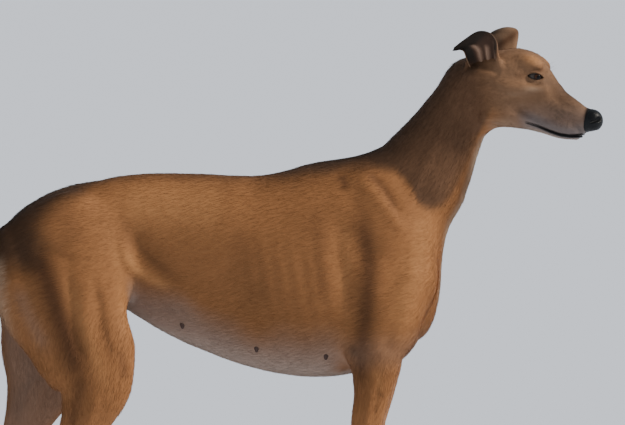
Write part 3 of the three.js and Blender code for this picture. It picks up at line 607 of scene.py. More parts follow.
def crossings(values, origin, cell):
    # the grid edges that the surface crosses: axis, first corner, point, and whether it leaves the body there
    found = []
    for axis in range(3):
        near = [slice(None)] * 3
        far = [slice(None)] * 3
        near[axis], far[axis] = slice(None, -1), slice(1, None)
        a, b = values[tuple(near)], values[tuple(far)]
        index = np.argwhere((a < 0) != (b < 0))
        va, vb = a[tuple(index.T)], b[tuple(index.T)]
        points = origin + cell * index.astype(float)
        points[:, axis] += cell * va / (va - vb)
        found.append((axis, index, points, va < 0))
    return found


def meshOver(field, low, high, cell, finer, boxes):
    # surface nets on coarse cells, with finer cells inside the boxes and the two sizes joined without a gap
    low = np.array(low, float)
    shape = np.ceil((np.array(high) - low) / cell).astype(int) + 1
    values = bandValues(field, low, cell, shape)
    cellCount = shape - 1
    inBox = np.full(cellCount, -1)
    spans = []
    for k, (a, b) in enumerate(boxes):
        first = np.maximum(np.floor((np.array(a) - low) / cell).astype(int), 0)
        last = np.minimum(np.ceil((np.array(b) - low) / cell).astype(int), cellCount)
        spans.append((first, last))
        inBox[first[0]:last[0], first[1]:last[1], first[2]:last[2]] = k
    base = [int(np.prod(cellCount))]
    for first, last in spans:
        base.append(base[-1] + int(np.prod((last - first) * finer)))

    def keyOf(fineCells):  # a number for each cell, from its place counted in finer cells
        coarse = np.clip(fineCells // finer, 0, cellCount - 1)
        key = np.ravel_multi_index(coarse.T, cellCount)
        owner = inBox[tuple(coarse.T)]
        for k, (first, last) in enumerate(spans):
            mine = owner == k
            if mine.any():
                size = (last - first) * finer
                key[mine] = base[k] + np.ravel_multi_index((fineCells[mine] - first * finer).T, size)
        return key

    quads, points = [], []

    def collect(found, firstCorner, scale, skipRefined):
        for axis, index, crossing, leaves in found:
            corner = (index + firstCorner) * scale
            b, c = (axis + 1) % 3, (axis + 2) % 3
            cells = []
            for sb, sc in ((-1, -1), (0, -1), (0, 0), (-1, 0)):
                cell4 = corner.copy()
                cell4[:, b] += sb
                cell4[:, c] += sc
                cells.append(cell4)
            if skipRefined:
                owners = [inBox[tuple(np.clip(cell4 // finer, 0, cellCount - 1).T)] for cell4 in cells]
                keep = np.all(np.array(owners) < 0, axis=0)
            else:
                keep = np.ones(len(corner), bool)
            keys = np.stack([keyOf(cell4[keep]) for cell4 in cells], 1)
            flip = ~leaves[keep]
            keys[flip] = keys[flip][:, ::-1]
            quads.append(keys)
            points.append(crossing[keep])

    collect(crossings(values, low, cell), np.zeros(3, int), finer, True)
    for first, last in spans:
        fineShape = (last - first) * finer + 1
        origin = low + first * cell
        fine = bandValues(field, origin, cell / finer, fineShape)
        collect(crossings(fine, origin, cell / finer), first * finer, 1, False)
    quads, points = np.vstack(quads), np.vstack(points)
    keys, vertexOf = np.unique(quads, return_inverse=True)
    vertexOf = vertexOf.reshape(quads.shape)
    total = np.zeros((len(keys), 3))
    count = np.bincount(vertexOf.ravel(), minlength=len(keys))
    for k in range(3):
        total[:, k] = np.bincount(vertexOf.ravel(), np.repeat(points[:, k], 4), len(keys))
    vertices = total / count[:, None]
    return vertices, [tuple(dict.fromkeys(q)) for q in vertexOf.tolist()]


def slopeOf(field, points, here, step=0.4):
    return np.stack([(field(points + step * np.eye(3)[k]) - here) / step for k in range(3)], 1)


def ontoForm(field, points, rounds=2, most=3.0):  # slides points along the slope until they lie on the form
    points = points.copy()
    for _ in range(rounds):
        here = field(points)
        slope = slopeOf(field, points, here)
        move = here[:, None] * slope / np.maximum((slope ** 2).sum(1), 0.15)[:, None]
        length = np.linalg.norm(move, axis=1)[:, None]
        points -= move * np.minimum(1, most / np.maximum(length, 1e-9))
    return points


def meshObject(name, vertices, faces):
    mesh = bpy.data.meshes.new(name)
    mesh.from_pydata([tuple(v) for v in toWorld(vertices)], [], faces)
    mesh.validate()
    mesh.shade_smooth()
    return addObject(name, mesh)


def gather(name, parts, onHead=False):  # joins simple closed parts into one piece
    vertices, faces = [], []
    for points, polygons in parts:
        start = len(vertices)
        vertices.extend(points)
        faces.extend(tuple(start + k for k in polygon) for polygon in polygons)
    vertices = np.array(vertices)
    thing = meshObject(name, turnFromHead(vertices) if onHead else vertices, faces)
    bm = bmesh.new()
    bm.from_mesh(thing.data)
    bmesh.ops.recalc_face_normals(bm, faces=bm.faces)
    bm.to_mesh(thing.data)
    bm.free()
    return thing


def skinField(points):
    return wholeField(points) + skinSetup["coatDepth"]


def makeSkin():
    setup = skinSetup
    low, high = np.array(setup["low"]) - setup["margin"], np.array(setup["high"]) + setup["margin"]
    vertices, faces = meshOver(skinField, low, high, setup["cell"], setup["finer"], setup["boxes"])
    print("skin meshed", len(vertices), "points")
    vertices = ontoForm(skinField, vertices)
    vertices[:, 2] = np.maximum(vertices[:, 2], 0.0)
    return meshObject("skin", vertices, [f for f in faces if len(f) > 2])


skin = makeSkin()
print("skin made,", len(skin.data.polygons), "faces")

# the coat's markings with painted light and shade, and how the hair lies
palette = {  # linear colours
    "fawn": (0.295, 0.126, 0.046),
    # the colour of the painted highlights
    "highlightGold": (0.44, 0.200, 0.074),
    "umber": (0.085, 0.036, 0.016),
    "topline": (0.050, 0.026, 0.014),
    # the painted shadow on her neck, over its darker coat
    "neckBrownAndShadow": (0.100, 0.054, 0.031),
    "under": (0.275, 0.178, 0.128),
    "belly": (0.40, 0.300, 0.240),
    "cream": (0.50, 0.345, 0.225),
    "lipGrey": (0.22, 0.180, 0.165),
    "dark": (0.012, 0.010, 0.009),
    "smoke": (0.085, 0.052, 0.034),
    "tan": (0.26, 0.118, 0.054),
    "cheek": (0.215, 0.122, 0.068),
    "pad": (0.030, 0.026, 0.024),
    "earInside": (0.20, 0.095, 0.058),
    "earRidge": (0.36, 0.225, 0.15),
    "earShade": (0.026, 0.020, 0.015),
    "teat": (0.085, 0.052, 0.042),
}
bellyBorder = [  # x and z along her side: grey below it
    (-320, 500), (-240, 500), (-205, 492), (-175, 472), (-134, 448),
    (-93, 430), (-20, 416), (60, 410), (125, 406),
]
neckShadowBorder = [  # above this line the withers and the neck are darker: a painted shadow, mostly the one her head casts, over a somewhat darker coat
    (-60, 692), (0, 685), (50, 691), (100, 697), (141, 702), (187, 689), (213, 666), (224, 640), (243, 631),
    (262, 634), (276, 646), (290, 668), (304, 700), (322, 745), (345, 790),
]
rumpCoatAndShadeBorder = [  # z and x: behind it her rump is darker, partly its coat and partly painted shade where it turns away from the light
    (492, -560), (504, -448), (530, -404), (605, -392), (635, -372), (665, -330), (682, -280),
]
sideShadeAndHighlights = [  # mostly painted shade and highlights along her muscles, and a few coat marks: x and z along each one, half width, colour, share
    ([(-408, 572), (-388, 524), (-366, 460), (-345, 400), (-328, 350)], 22, "umber", 0.90),
    ([(-326, 360), (-336, 313), (-346, 268)], 12, "umber", 0.55),
    ([(-348, 516), (-327, 444), (-303, 379), (-290, 338)], 11, "highlightGold", 0.50),
    ([(-303, 512), (-292, 461), (-286, 420), (-276, 388)], 5, "umber", 0.45),
    ([(-285, 600), (-272, 550), (-262, 494), (-257, 420)], 9, "highlightGold", 0.35),
    ([(-264, 398), (-255, 350)], 8, "umber", 0.40),
    ([(-262, 566), (-240, 530), (-216, 514), (-184, 500)], 8, "highlightGold", 0.85),
    ([(-262, 622), (-250, 588), (-228, 558), (-200, 536), (-164, 512)], 9, "umber", 0.40),
    ([(-372, 640), (-352, 600), (-345, 568)], 28, "umber", 0.32),
    ([(-432, 500), (-412, 450), (-386, 400)], 12, "under", 0.35),
    ([(128, 632), (142, 559), (141, 477), (131, 395), (127, 320)], 17, "umber", 0.78),
    ([(126, 682), (157, 641), (190, 598)], 9, "highlightGold", 0.10),
    ([(142, 690), (169, 661), (190, 628)], 6.5, "umber", 0.62),
    ([(98, 684), (108, 660)], 8, "umber", 0.75),
    ([(100, 604), (107, 543), (103, 490)], 9, "highlightGold", 0.35),
    ([(237, 622), (230, 567), (210, 494), (192, 428)], 20, "highlightGold", 0.55),
    ([(112, 404), (122, 388)], 8, "topline", 0.55),
    ([(155, 366), (164, 332)], 6, "highlightGold", 0.5),
    ([(163, 330), (166, 320)], 3, "umber", 0.6),
    ([(52, 640), (60, 560), (66, 480)], 14, "umber", 0.20),
    ([(-70, 600), (-60, 540), (-30, 470)], 26, "umber", 0.20),
    ([(-262, 640), (-180, 634), (-90, 632)], 40, "highlightGold", 0.58),
]


def strokeShare(flat, path, width):  # 1 on a line drawn on her side, falling away to both sides
    share = np.zeros(len(flat))
    near, away, along = nearPath(flat, path, 2.5 * width)
    share[near] = np.exp(-(away / width) ** 2) * (0.25 + 0.75 * fadeEnds(along, 0.2))
    return share


shareNames = ("headShare", "neckShare", "legShare")


def regionShares(points):  # how much each point belongs to the head, the neck and the legs, 0 to 1
    x, y, z = points.T

    def beyond(throughX, throughZ, degrees):  # how far points are past a slanting line
        turn = math.radians(degrees)
        return (x - throughX) * math.cos(turn) + (z - throughZ) * math.sin(turn)

    headShare = smoothstep(beyond(320, 810, 17), -10, 45) * (z > 700)
    neckShare = smoothstep(beyond(217, 670, 52), -50, 40) * (1 - headShare)
    hind = smoothstep(-z, -500, -390) * smoothstep(-x, 225, 275)
    fore = smoothstep(-z, -430, -350) * smoothstep(np.abs(y), 18, 34) * smoothstep(x, 70, 105)
    legShare = np.maximum(np.maximum(hind, fore), (x < -480) & (np.abs(y) < 24))
    return headShare, neckShare, legShare * (1 - neckShare) * (1 - headShare)


lieWays = {  # which way the hair runs
    "trunk": unit(np.array([-0.95, 0, -0.30])),
    "neck": unit(np.array([-0.52, 0, -0.85])),
    "leg": unit(np.array([-0.12, 0, -1.0])),
    "head": unit(turnFromHead([(-0.9, 0, 0.30)])[0] - turnFromHead([(0, 0, 0)])[0]),
}


def lieOf(points, normals):
    headShare, neckShare, legShare = regionShares(points)
    trunkShare = np.clip(1 - headShare - neckShare - legShare, 0, 1)
    lie = (headShare[:, None] * lieWays["head"] + neckShare[:, None] * lieWays["neck"]
           + legShare[:, None] * lieWays["leg"] + trunkShare[:, None] * lieWays["trunk"])
    lie = lie - (lie * normals).sum(1)[:, None] * normals
    return unit(lie)


def blendColour(base, other, share):
    return base + (np.array(palette[other]) - base) * np.clip(share, 0, 1)[:, None]


def spot(points, centre, radii):
    return np.exp(-(((points - np.array(centre)) / np.array(radii)) ** 2).sum(1))


bridgeSpots = [  # on her face: colour, share, middle, reach
    ("smoke", 0.88, (160, 0, 818), (48, 18, 26)),
    ("umber", 0.34, (160, 0, 822), (46, 18, 18)),
]
eyeSpotsAndPaintedLight = [
    ("smoke", 0.45, (134, 22, 838), (15, 12, 9)),  # inner corner
    ("cream", 0.34, (119, 40, 825), (15, 12, 4.5)),  # painted highlight on the fold under the eye
    ("highlightGold", 0.70, (120, 26, 873), (22, 16, 11)),  # painted highlight on the brow
    ("umber", 0.75, (127, 26, 857), (13, 12, 5.5)),  # shade under the brow
    ("umber", 0.35, (100, 42, 847), (9, 12, 5)),  # outer corner
]


def markingsAndPaintedLight(points, normals):
    x, y, z = points.T
    nx, ny, nz = normals.T
    out = np.abs(y)
    headShare, neckShare, legShare = regionShares(points)
    face = mirrored(turnToHead(points))
    hx, hy, hz = face.T
    colour = np.tile(np.array(palette["fawn"]), (len(points), 1))
    # unevenness of the borders
    wander = 9 * np.sin(x / 31.0) + 6 * np.sin(x / 13.0 + 1.7) + 5 * np.sin(z / 17.0)

    def paint(name, share):
        nonlocal colour
        colour = blendColour(colour, name, share)

    # painted shade and highlights along the lines of her muscles, and a few coat marks
    shiftedX = x + hindShift(z, np.sign(y)) * (x < -150)
    onSide = smoothstep(out, 14, 34)
    for path, width, name, share in sideShadeAndHighlights:
        paint(name, strokeShare(np.stack([shiftedX, z], 1), path, width) * share * onSide)
    # darker along her back, her nape and her rump; on the rump partly a darker coat and partly painted shade
    top = smoothstep(nz, 0.45, 0.98) * (1 - headShare) * (z > 480)
    paint("topline", (0.35 + 0.4 * smoothstep(x, -70, 60)) * top)
    # painted shade on her rump, over a darker coat
    rump = smoothstep(heightOn(rumpCoatAndShadeBorder, z) - x + 0.7 * wander, -34, 26)
    rump = rump * smoothstep(z + 0.9 * wander, 462, 558) * (x < -200)
    paint("topline", 0.92 * rump)
    dorsal = smoothstep(-out + 0.3 * wander, -34, -4) * smoothstep(nz, 0.5, 0.9) * (1 - headShare)
    paint("topline", 0.42 * dorsal * (1 - rump))
    paint("umber", 0.6 * (smoothstep(-x, 484, 494) * (out < 24) * smoothstep(z, 190, 420)))  # tail
    # painted shadow of her head over her withers and neck, on a somewhat darker coat, lighter where she faces
    # ahead into the light
    neckShadow = smoothstep(z - heightOn(neckShadowBorder, x) + 0.3 * wander, -11, 13)
    neckShadow = neckShadow * smoothstep(x, -70, 20) * (z > 600)
    neckShadow *= 1 - 0.8 * headShare * smoothstep(hx, 0, 50)
    paint("neckBrownAndShadow", 0.84 * neckShadow * (1 - 0.40 * smoothstep(nx, 0.35, 0.8)))
    # darker still along the nape and over the withers: a darker coat there, with more painted shade where the
    # neck turns up and back
    nape = neckShare * smoothstep(nz - nx * 0.9, 0.2, 1.1) + smoothstep(x, 20, 90) * neckShadow * (1 - neckShare)
    paint("topline", 0.62 * nape)
    # grey below
    below = smoothstep(heightOn(bellyBorder, x) + wander * 0.7 - z, -34, 26)
    below = below * (x > -330) * (x < 250) * (1 - legShare)
    thigh = np.full(len(points), farAway)
    for leg in hindLegs:
        addForm(thigh, points, leg, 0.1)
    offThigh = smoothstep(thigh, 1, 9)
    below *= smoothstep(x, -330, -250) * (1 - 0.25 * smoothstep(x, -120, 0)) * offThigh
    paint("under", 0.9 * below)
    lowest = smoothstep(-nz, 0.35, 0.85) * (z > 330) * (x > -330) * smoothstep(-x, -200, -150)
    paint("belly", 0.85 * lowest * (1 - legShare) * offThigh)
    # a pale painted highlight down her throat and the front of her chest, where they face ahead into the
    # light; then a paler coat under her jaw
    chestHighlight = smoothstep(nx, 0.5, 0.9) * smoothstep(-out - 0.4 * wander, -30, -6) * smoothstep(x, 190, 225)
    paint("cream", 0.75 * (chestHighlight * (1 - headShare) * smoothstep(z, 430, 500)))
    paint("cream", 0.6 * (headShare * smoothstep(-nz, 0.35, 0.9) * smoothstep(-hx, -150, -60)))
    # inner thighs, the backs of the thighs, lower legs and soles
    paint("under", 0.65 * (smoothstep(-ny * np.sign(y), 0.2, 0.9) * (z < 520) * (z > 60) * (out > 4)))
    breech = smoothstep(-shiftedX, 415, 455) * smoothstep(z, 330, 500)
    breech = breech * smoothstep(-z, -562, -528) * smoothstep(-nx, 0.3, 0.8)
    paint("cream", 0.5 * breech * (x > -484))
    paint("tan", 0.6 * legShare * smoothstep(-z, -330, -120))
    paint("cream", 0.35 * smoothstep(-z, -60, -18) * smoothstep(z, 8, 16))
    paint("pad", smoothstep(-nz, 0.3, 0.7) * (z < 14))
    # face
    paint("cheek", 0.75 * headShare * smoothstep(hx, -10, 60))
    paint("lipGrey", 0.35 * headShare * smoothstep(hx, 60, 120) * smoothstep(-hz, -815, -775))
    mouthZ = heightOn(mouthLine, hx)
    lips = smoothstep(mouthZ + 26 - hz, 0, 22) * smoothstep(hz - mouthZ, -26, -12)
    paint("lipGrey", 0.85 * headShare * smoothstep(hx, 84, 116) * lips)
    paint("cream", 0.5 * headShare * smoothstep(hx, 90, 130) * smoothstep(mouthZ - 3 - hz, 0, 8))
    for name, share, middle, reach in bridgeSpots:
        paint(name, share * headShare * spot(face, middle, reach))
    rel = face - eyeCentre
    nearEye = almond(rel @ eyeAlong, rel @ eyeRise)
    paint("dark", 0.70 * smoothstep(-nearEye, -1.30, -1.0) * (np.linalg.norm(rel, axis=1) < 24))
    for name, share, middle, reach in eyeSpotsAndPaintedLight:
        paint(name, share * headShare * spot(face, middle, reach))
    freckles = np.sin(hx / 3.1 + 2 * np.sin(hz / 4.3)) * np.sin(hz / 2.7 + 2 * np.sin(hx / 5.1))
    freckles = headShare * smoothstep(freckles, 0.1, 0.7)
    paint("smoke", 0.42 * freckles * spot(face, (158, 18, 795), (32, 18, 22)))
    edge = headShare * smoothstep(-np.abs(hz - mouthZ + 0.6), -4.6, -2.2)
    paint("dark", 0.94 * edge * smoothstep(hx, 99, 150) * (hx < 222) * smoothstep(hy, 1, 4))
    paint("dark", headShare * smoothstep(hx, 198, 203))
    # slow mottling of the whole coat
    mottle = np.sin(x / 47 + 0.9 * np.sin(z / 39)) * np.sin(z / 53 + 1.3 * np.sin(x / 61 + y / 40))
    return colour * (1 + 0.07 * mottle[:, None])


def writeAttribute(mesh, name, kind, values):
    attribute = mesh.attributes.new(name, kind, "POINT")
    field = {"FLOAT_COLOR": "color", "FLOAT_VECTOR": "vector", "FLOAT": "value"}[kind]
    attribute.data.foreach_set(field, np.ascontiguousarray(values, np.float32).ravel())


def meshArrays(mesh):  # places in mm and outward directions of a mesh's points
    count = len(mesh.vertices)
    co, normals = np.empty(count * 3, np.float32), np.empty(count * 3, np.float32)
    mesh.vertices.foreach_get("co", co)
    mesh.vertex_normals.foreach_get("vector", normals)
    return co.reshape(-1, 3).astype(float) * 1000 - originShift, normals.reshape(-1, 3).astype(float)


def paintCoat(thing, paint=markingsAndPaintedLight):
    points, normals = meshArrays(thing.data)
    colour = paint(points, normals)
    writeAttribute(thing.data, "markAndShadeColour", "FLOAT_COLOR", np.hstack([colour, np.ones((len(colour), 1))]))
    for name, share in zip(shareNames, regionShares(points)):
        writeAttribute(thing.data, name, "FLOAT", share)


def feed(tree, socket, value):
    if isinstance(value, bpy.types.NodeSocket):
        tree.links.new(value, socket)
    else:
        socket.default_value = value


def addNode(tree, kind, settings=None, values=None):
    node = tree.nodes.new(kind)
    for name, setting in (settings or {}).items():
        setattr(node, name, setting)
    for name, value in (values or {}).items():
        feed(tree, node.inputs[name], value)
    return node


class Value:  # a socket, so that a sum written in Python adds its Math nodes
    def __init__(self, shader, socket):
        self.shader, self.socket = shader, socket

    def combine(self, operation, *parts):
        return self.shader.node("Math", {"operation": operation}, dict(enumerate(parts)))

    def __add__(self, other): return self.combine("ADD", self, other)
    def __radd__(self, other): return self.combine("ADD", other, self)
    def __sub__(self, other): return self.combine("SUBTRACT", self, other)
    def __rsub__(self, other): return self.combine("SUBTRACT", other, self)
    def __mul__(self, other): return self.combine("MULTIPLY", self, other)
    def __rmul__(self, other): return self.combine("MULTIPLY", other, self)

    def between(self, low, high):  # 0 at low, 1 at high, eased
        return self.shader.node("MapRange", {"interpolation_type": "SMOOTHSTEP"},
                                {"Value": self, "From Min": low, "From Max": high})


class Shader:
    def __init__(self, name):
        self.material = bpy.data.materials.new(name)
        self.material.use_nodes = True
        self.tree = self.material.node_tree
        self.surface = self.tree.nodes["Principled BSDF"]

    def node(self, kind, settings=None, values=None, out=0):
        values = {name: getattr(value, "socket", value) for name, value in (values or {}).items()}
        return Value(self, addNode(self.tree, "ShaderNode" + kind, settings, values).outputs[out])

    def set(self, **values):
        for name, value in values.items():
            feed(self.tree, self.surface.inputs[name.replace("_", " ")], getattr(value, "socket", value))

    def ramp(self, factor, stops):  # colours between places on a scale
        result = self.node("ValToRGB", values={"Fac": factor})
        elements = result.socket.node.color_ramp.elements
        for k, (place, colour) in enumerate(stops):
            stop = elements[k] if k < 2 else elements.new(place)
            stop.position, stop.color = place, colour
        return result

    def attribute(self, name, out="Fac"):
        return self.node("Attribute", {"attribute_name": name}, out=out)

    def place(self):
        return self.node("TexCoord", out="Object")

    def noise(self, vector, scale, detail, roughness=0.5):
        return self.node("TexNoise", values={
            "Vector": vector, "Scale": scale, "Detail": detail, "Roughness": roughness})

    def dot(self, a, b):
        return self.node("VectorMath", {"operation": "DOT_PRODUCT"}, {0: a, 1: tuple(b)}, out="Value")

    def scaleColour(self, colour, amount):
        return self.node("VectorMath", {"operation": "SCALE"}, {0: colour, "Scale": amount})

    def mixColour(self, a, b, factor):
        return self.node("Mix", {"data_type": "RGBA"}, {0: factor, 6: a, 7: b}, out=2)

    def bump(self, height, distance, strength):
        return self.node("Bump", values={"Height": height, "Distance": distance, "Strength": strength})


furLook = {
    "hairsAcross": 620.0,  # per metre
    "hairsAlong": 34.0,
    "bump": 0.0011,
    "bumpStrength": 0.55,
    "streak": 0.30,
    "patches": (26.0, 0.22),  # how close they lie, how much lighter or darker they are
    "clumps": (150.0, 0.10),
    "roughness": 0.68,
    "sheen": {"Sheen_Weight": 0.02, "Sheen_Roughness": 0.45, "Sheen_Tint": (1.0, 0.9, 0.8, 1)},
    "specular": 0.12,
}


def alongHair(shader, place, way, look):  # a noise drawn out along one lie of the hair
    way = np.array(way)
    across = unit(np.cross(way, (0, 1, 0)))
    third = np.cross(way, across)
    grain = shader.node("CombineXYZ", values={
        0: shader.dot(place, way * look["hairsAlong"]),
        1: shader.dot(place, across * look["hairsAcross"]),
        2: shader.dot(place, third * look["hairsAcross"]),
    })
    return shader.noise(grain, 1.0, 2.5, 0.62)


def hairGrain(shader, look):
    place = shader.place()
    head, neckPart, leg = (shader.attribute(name) for name in shareNames)
    finer = dict(look, hairsAcross=look["hairsAcross"] * 1.6, hairsAlong=look["hairsAlong"] * 2.2)
    grain = alongHair(shader, place, lieWays["trunk"], look) * (1 - head - neckPart - leg)
    grain = grain + alongHair(shader, place, lieWays["neck"], look) * neckPart
    grain = grain + alongHair(shader, place, lieWays["leg"], look) * leg
    return grain + alongHair(shader, place, lieWays["head"], finer) * head


def coatMaterial(look):
    shader = Shader("coat")
    grain = hairGrain(shader, look)
    place = shader.place()
    patches = shader.noise(place, look["patches"][0], 3.0)
    clumps = shader.noise(place, look["clumps"][0], 2.0)
    light = 1 - look["streak"] / 2 + grain * look["streak"]
    light = light + (patches - 0.5) * look["patches"][1] + (clumps - 0.5) * look["clumps"][1]
    shader.set(Base_Color=shader.scaleColour(shader.attribute("markAndShadeColour", "Color"), light),
               Roughness=look["roughness"] + (grain - 0.5) * 0.2,
               Normal=shader.bump(grain + clumps * 0.5, look["bump"], look["bumpStrength"]),
               Specular_IOR_Level=look["specular"], **look["sheen"])
    return shader.material


coat = coatMaterial(furLook)
paintCoat(skin)
skin.data.materials.append(coat)
fleshNodes = ["torso", "neck", "head", "tail"]
for name in ("right", "left"):
    fleshNodes += [f"foreleg_{name}", f"hindleg_{name}", f"forepaw_{name}", f"hindpaw_{name}"]


def keep(piece, slotName, *nodes):
    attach(piece, "root")
    if nodes:
        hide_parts(*nodes)


keep(skin, "coat", *fleshNodes)
print("coat painted")

eyeLook = {
    "gaze": (0.76, 0.65, -0.02), "cornea": 1.1, "corneaTilt": 0.42,
    "gloss": {"Roughness": 0.12, "Coat_Weight": 0.15, "Coat_Roughness": 0.03, "Specular_IOR_Level": 0.12},
    "rings": [  # from the pupil outwards: tilt from the gaze, colour
        (0.0, (0.002, 0.002, 0.002, 1)), (0.27, (0.002, 0.002, 0.002, 1)), (0.34, (0.030, 0.010, 0.004, 1)),
        (0.56, (0.060, 0.022, 0.008, 1)), (0.66, (0.010, 0.005, 0.004, 1)),
        (0.76, (0.055, 0.042, 0.034, 1)), (1.00, (0.085, 0.068, 0.056, 1)),
    ],
}


def makeEye(name, side):
    bm = bmesh.new()
    bmesh.ops.create_uvsphere(bm, u_segments=64, v_segments=40, radius=eyeRadius)
    gaze = unit(np.array(eyeLook["gaze"])) * (1, side, 1)
    turn = Vector((0, 0, 1)).rotation_difference(Vector(gaze)).to_matrix()
    points, tilts = [], []
    for vertex in bm.verts:  # the clear front of the eye stands a little proud of the ball
        tilt = vertex.co.angle(Vector((0, 0, 1)))
        proud = 1 + eyeLook["cornea"] / eyeRadius * math.exp(-(tilt / eyeLook["corneaTilt"]) ** 4)
        points.append(np.array(turn @ (vertex.co * proud)) + eyeCentre * (1, side, 1))
        tilts.append(tilt)
    bm.verts.index_update()
    faces = [[vertex.index for vertex in face.verts] for face in bm.faces]
    bm.free()
    eye = gather(name, [(points, faces)], onHead=True)
    writeAttribute(eye.data, "tilt", "FLOAT", np.array(tilts))
    return eye


def eyeMaterial():
    shader = Shader("eye")
    tilt = shader.attribute("tilt")
    streaks = shader.noise(shader.place(), 900.0, 3.0)
    shader.set(Base_Color=shader.ramp(tilt + (streaks - 0.5) * 0.05, eyeLook["rings"]), **eyeLook["gloss"])
    return shader.material


eyeGloss = eyeMaterial()
for name, side in (("eye_right", -1), ("eye_left", 1)):
    eye = makeEye(name + "_ball", side)
    eye.data.materials.append(eyeGloss)
    keep(eye, "eye", name)

# nose leather
noseLook = {
    "start": 201, "level": 774, "tilt": math.radians(-12),  # where the leather begins
    "proud": 0.5, "cell": 0.9, "low": (196, -26, 744), "high": (233, 26, 802),
}


def noseField(points):
    side = mirrored(points)
    d = headField(points, folds=False) - noseLook["proud"]
    d -= 1.0 * np.exp(-(((side - (214, 10, 786)) / (12, 7, 8)) ** 2).sum(1))  # wings above the nostrils
    # a groove down the middle
    d += 1.4 * np.exp(-(side[:, 1] / 1.1) ** 2) * smoothstep(-points[:, 2], -778, -764)
    d += 0.7 * np.exp(-(side[:, 1] / 2.6) ** 2) * smoothstep(points[:, 2], 780, 790)
    addForm(d, side, nostril, 1.6, cut=True)
    back = ((noseLook["start"] - points[:, 0]) * math.cos(noseLook["tilt"])
            + (noseLook["level"] - points[:, 2]) * math.sin(noseLook["tilt"]))
    wave = 1.6 * np.sin(side[:, 1] / 5.0 + 0.6)
    bottom = heightOn(mouthLine, side[:, 0]) + 1.4 - points[:, 2]
    d = -join(-d, -(back + wave), 3.0)
    return -join(-d, -bottom, 2.0)


def makeNose():
    vertices, faces = meshOver(noseField, noseLook["low"], noseLook["high"], noseLook["cell"], 1, [])
    vertices = ontoForm(noseField, vertices, 2, 0.8)
    return meshObject("nose_leather", turnFromHead(vertices), [f for f in faces if len(f) > 2])


noseLeather = {"colour": (0.0022, 0.0026, 0.0027), "pebbles": 900.0, "depth": 0.0005, "roughness": 0.42}
lidLeather = {"colour": (0.006, 0.0055, 0.005), "pebbles": 1400.0, "depth": 0.0002, "roughness": 0.38}


def leatherMaterial(name, look):
    shader = Shader(name)
    place = shader.place()
    pebbles = shader.node("TexVoronoi", {"feature": "SMOOTH_F1"}, {"Vector": place, "Scale": look["pebbles"]})
    worn = shader.noise(place, 180.0, 3.0)
    shader.set(Base_Color=shader.scaleColour(look["colour"], 0.75 + worn * 0.5),
               Roughness=look["roughness"] + (worn - 0.5) * 0.2,
               Normal=shader.bump(pebbles, look["depth"], 0.8),
               Coat_Weight=0.06, Coat_Roughness=0.3, Specular_IOR_Level=0.22)
    return shader.material


nosePiece = makeNose()
nosePiece.data.materials.append(leatherMaterial("nose leather", noseLeather))
keep(nosePiece, "nose_leather", "nose")
print("eyes and nose made")


def wallFaces(rings, loop, closed=False):  # between rings of points, one after the other
    faces = []
    for i in range(rings if closed else rings - 1):
        low, high = i * loop, (i + 1) % rings * loop
        faces += [(low + k, low + (k + 1) % loop, high + (k + 1) % loop, high + k) for k in range(loop)]
    return faces


def tube(path, radii, sides=10, flat=1.0, up=(0, 0, 1)):  # a closed tube along a path
    path, radii, up = np.array(path, float), np.array(radii, float), np.array(up, float)
    tangents = unit(np.gradient(path, axis=0))
    across = unit(np.cross(tangents, up))
    rise = np.cross(across, tangents)
    turn = np.linspace(0, 2 * math.pi, sides, endpoint=False)[:, None]
    rim = np.cos(turn) * across[:, None] + flat * np.sin(turn) * rise[:, None]
    rings = path[:, None] + radii[:, None, None] * rim
    faces = wallFaces(len(path), sides)
    last = (len(path) - 1) * sides
    faces += [tuple(range(sides))[::-1], tuple(range(last, last + sides))]
    return rings.reshape(-1, 3), faces


# how far from a point inside the form its surface lies, along a way
def surfaceAt(field, start, way, reach=60.0):
    start, way = np.atleast_2d(start).astype(float), np.atleast_2d(way).astype(float)
    low, high = np.zeros(len(start)), np.full(len(start), reach)
    for _ in range(16):
        middle = (low + high) / 2
        inside = field(start + way * middle[:, None]) < 0
        low, high = np.where(inside, middle, low), np.where(inside, high, middle)
    return (low + high) / 2


# ears: thick cups that open to the side and fold back to the tip
earStations = [  # x and z of the front edge, of the rear edge, out, depth, thickness
    (60, 846, 22, 842, 24, 16, 4.4), (62, 862, 14, 854, 33, 17, 4.2), (62, 884, 8, 873, 42, 18, 3.8),
    (61, 905, 7, 882, 48, 16, 3.4), (50, 918, 5, 887, 52, 13, 3.0), (30, 920, -1, 889, 54, 10, 2.6),
    (7, 907, -8, 888, 55, 6, 2.2), (-11, 894, -14, 888, 55, 2.4, 1.6),
]
earLook = {"arc": math.radians(104), "leftLift": 5.0, "between": 9, "across": 46, "hem": 0.45, "tuck": 0.3}
earRidges = [  # degrees round the cup, height, half width in degrees, start and end along the ear
    (-27, 5.0, 8, 0.15, 0.52), (6, 4.6, 8, 0.14, 0.34), (50, 2.4, 10, 0.14, 0.34),
]
# how far the left one's front edge lies from the right one's, ahead and up
leftHem = [(0, 0), (1, 0), (4, 2), (6, 9), (-2, 3), (-4, -4), (0, -3), (0, 0)]


def earRidgeAt(angle, along):
    height = 0
    for middle, most, half, start, end in earRidges:
        swing = math.radians(middle + 9 * math.sin(along * 5))
        bell = np.exp(-((angle - swing) / math.radians(half)) ** 2)
        fade = smoothstep(along, start, start + 0.12) * smoothstep(-along, -end - 0.15, -end)
        height = height + most * bell * float(fade)
    return height


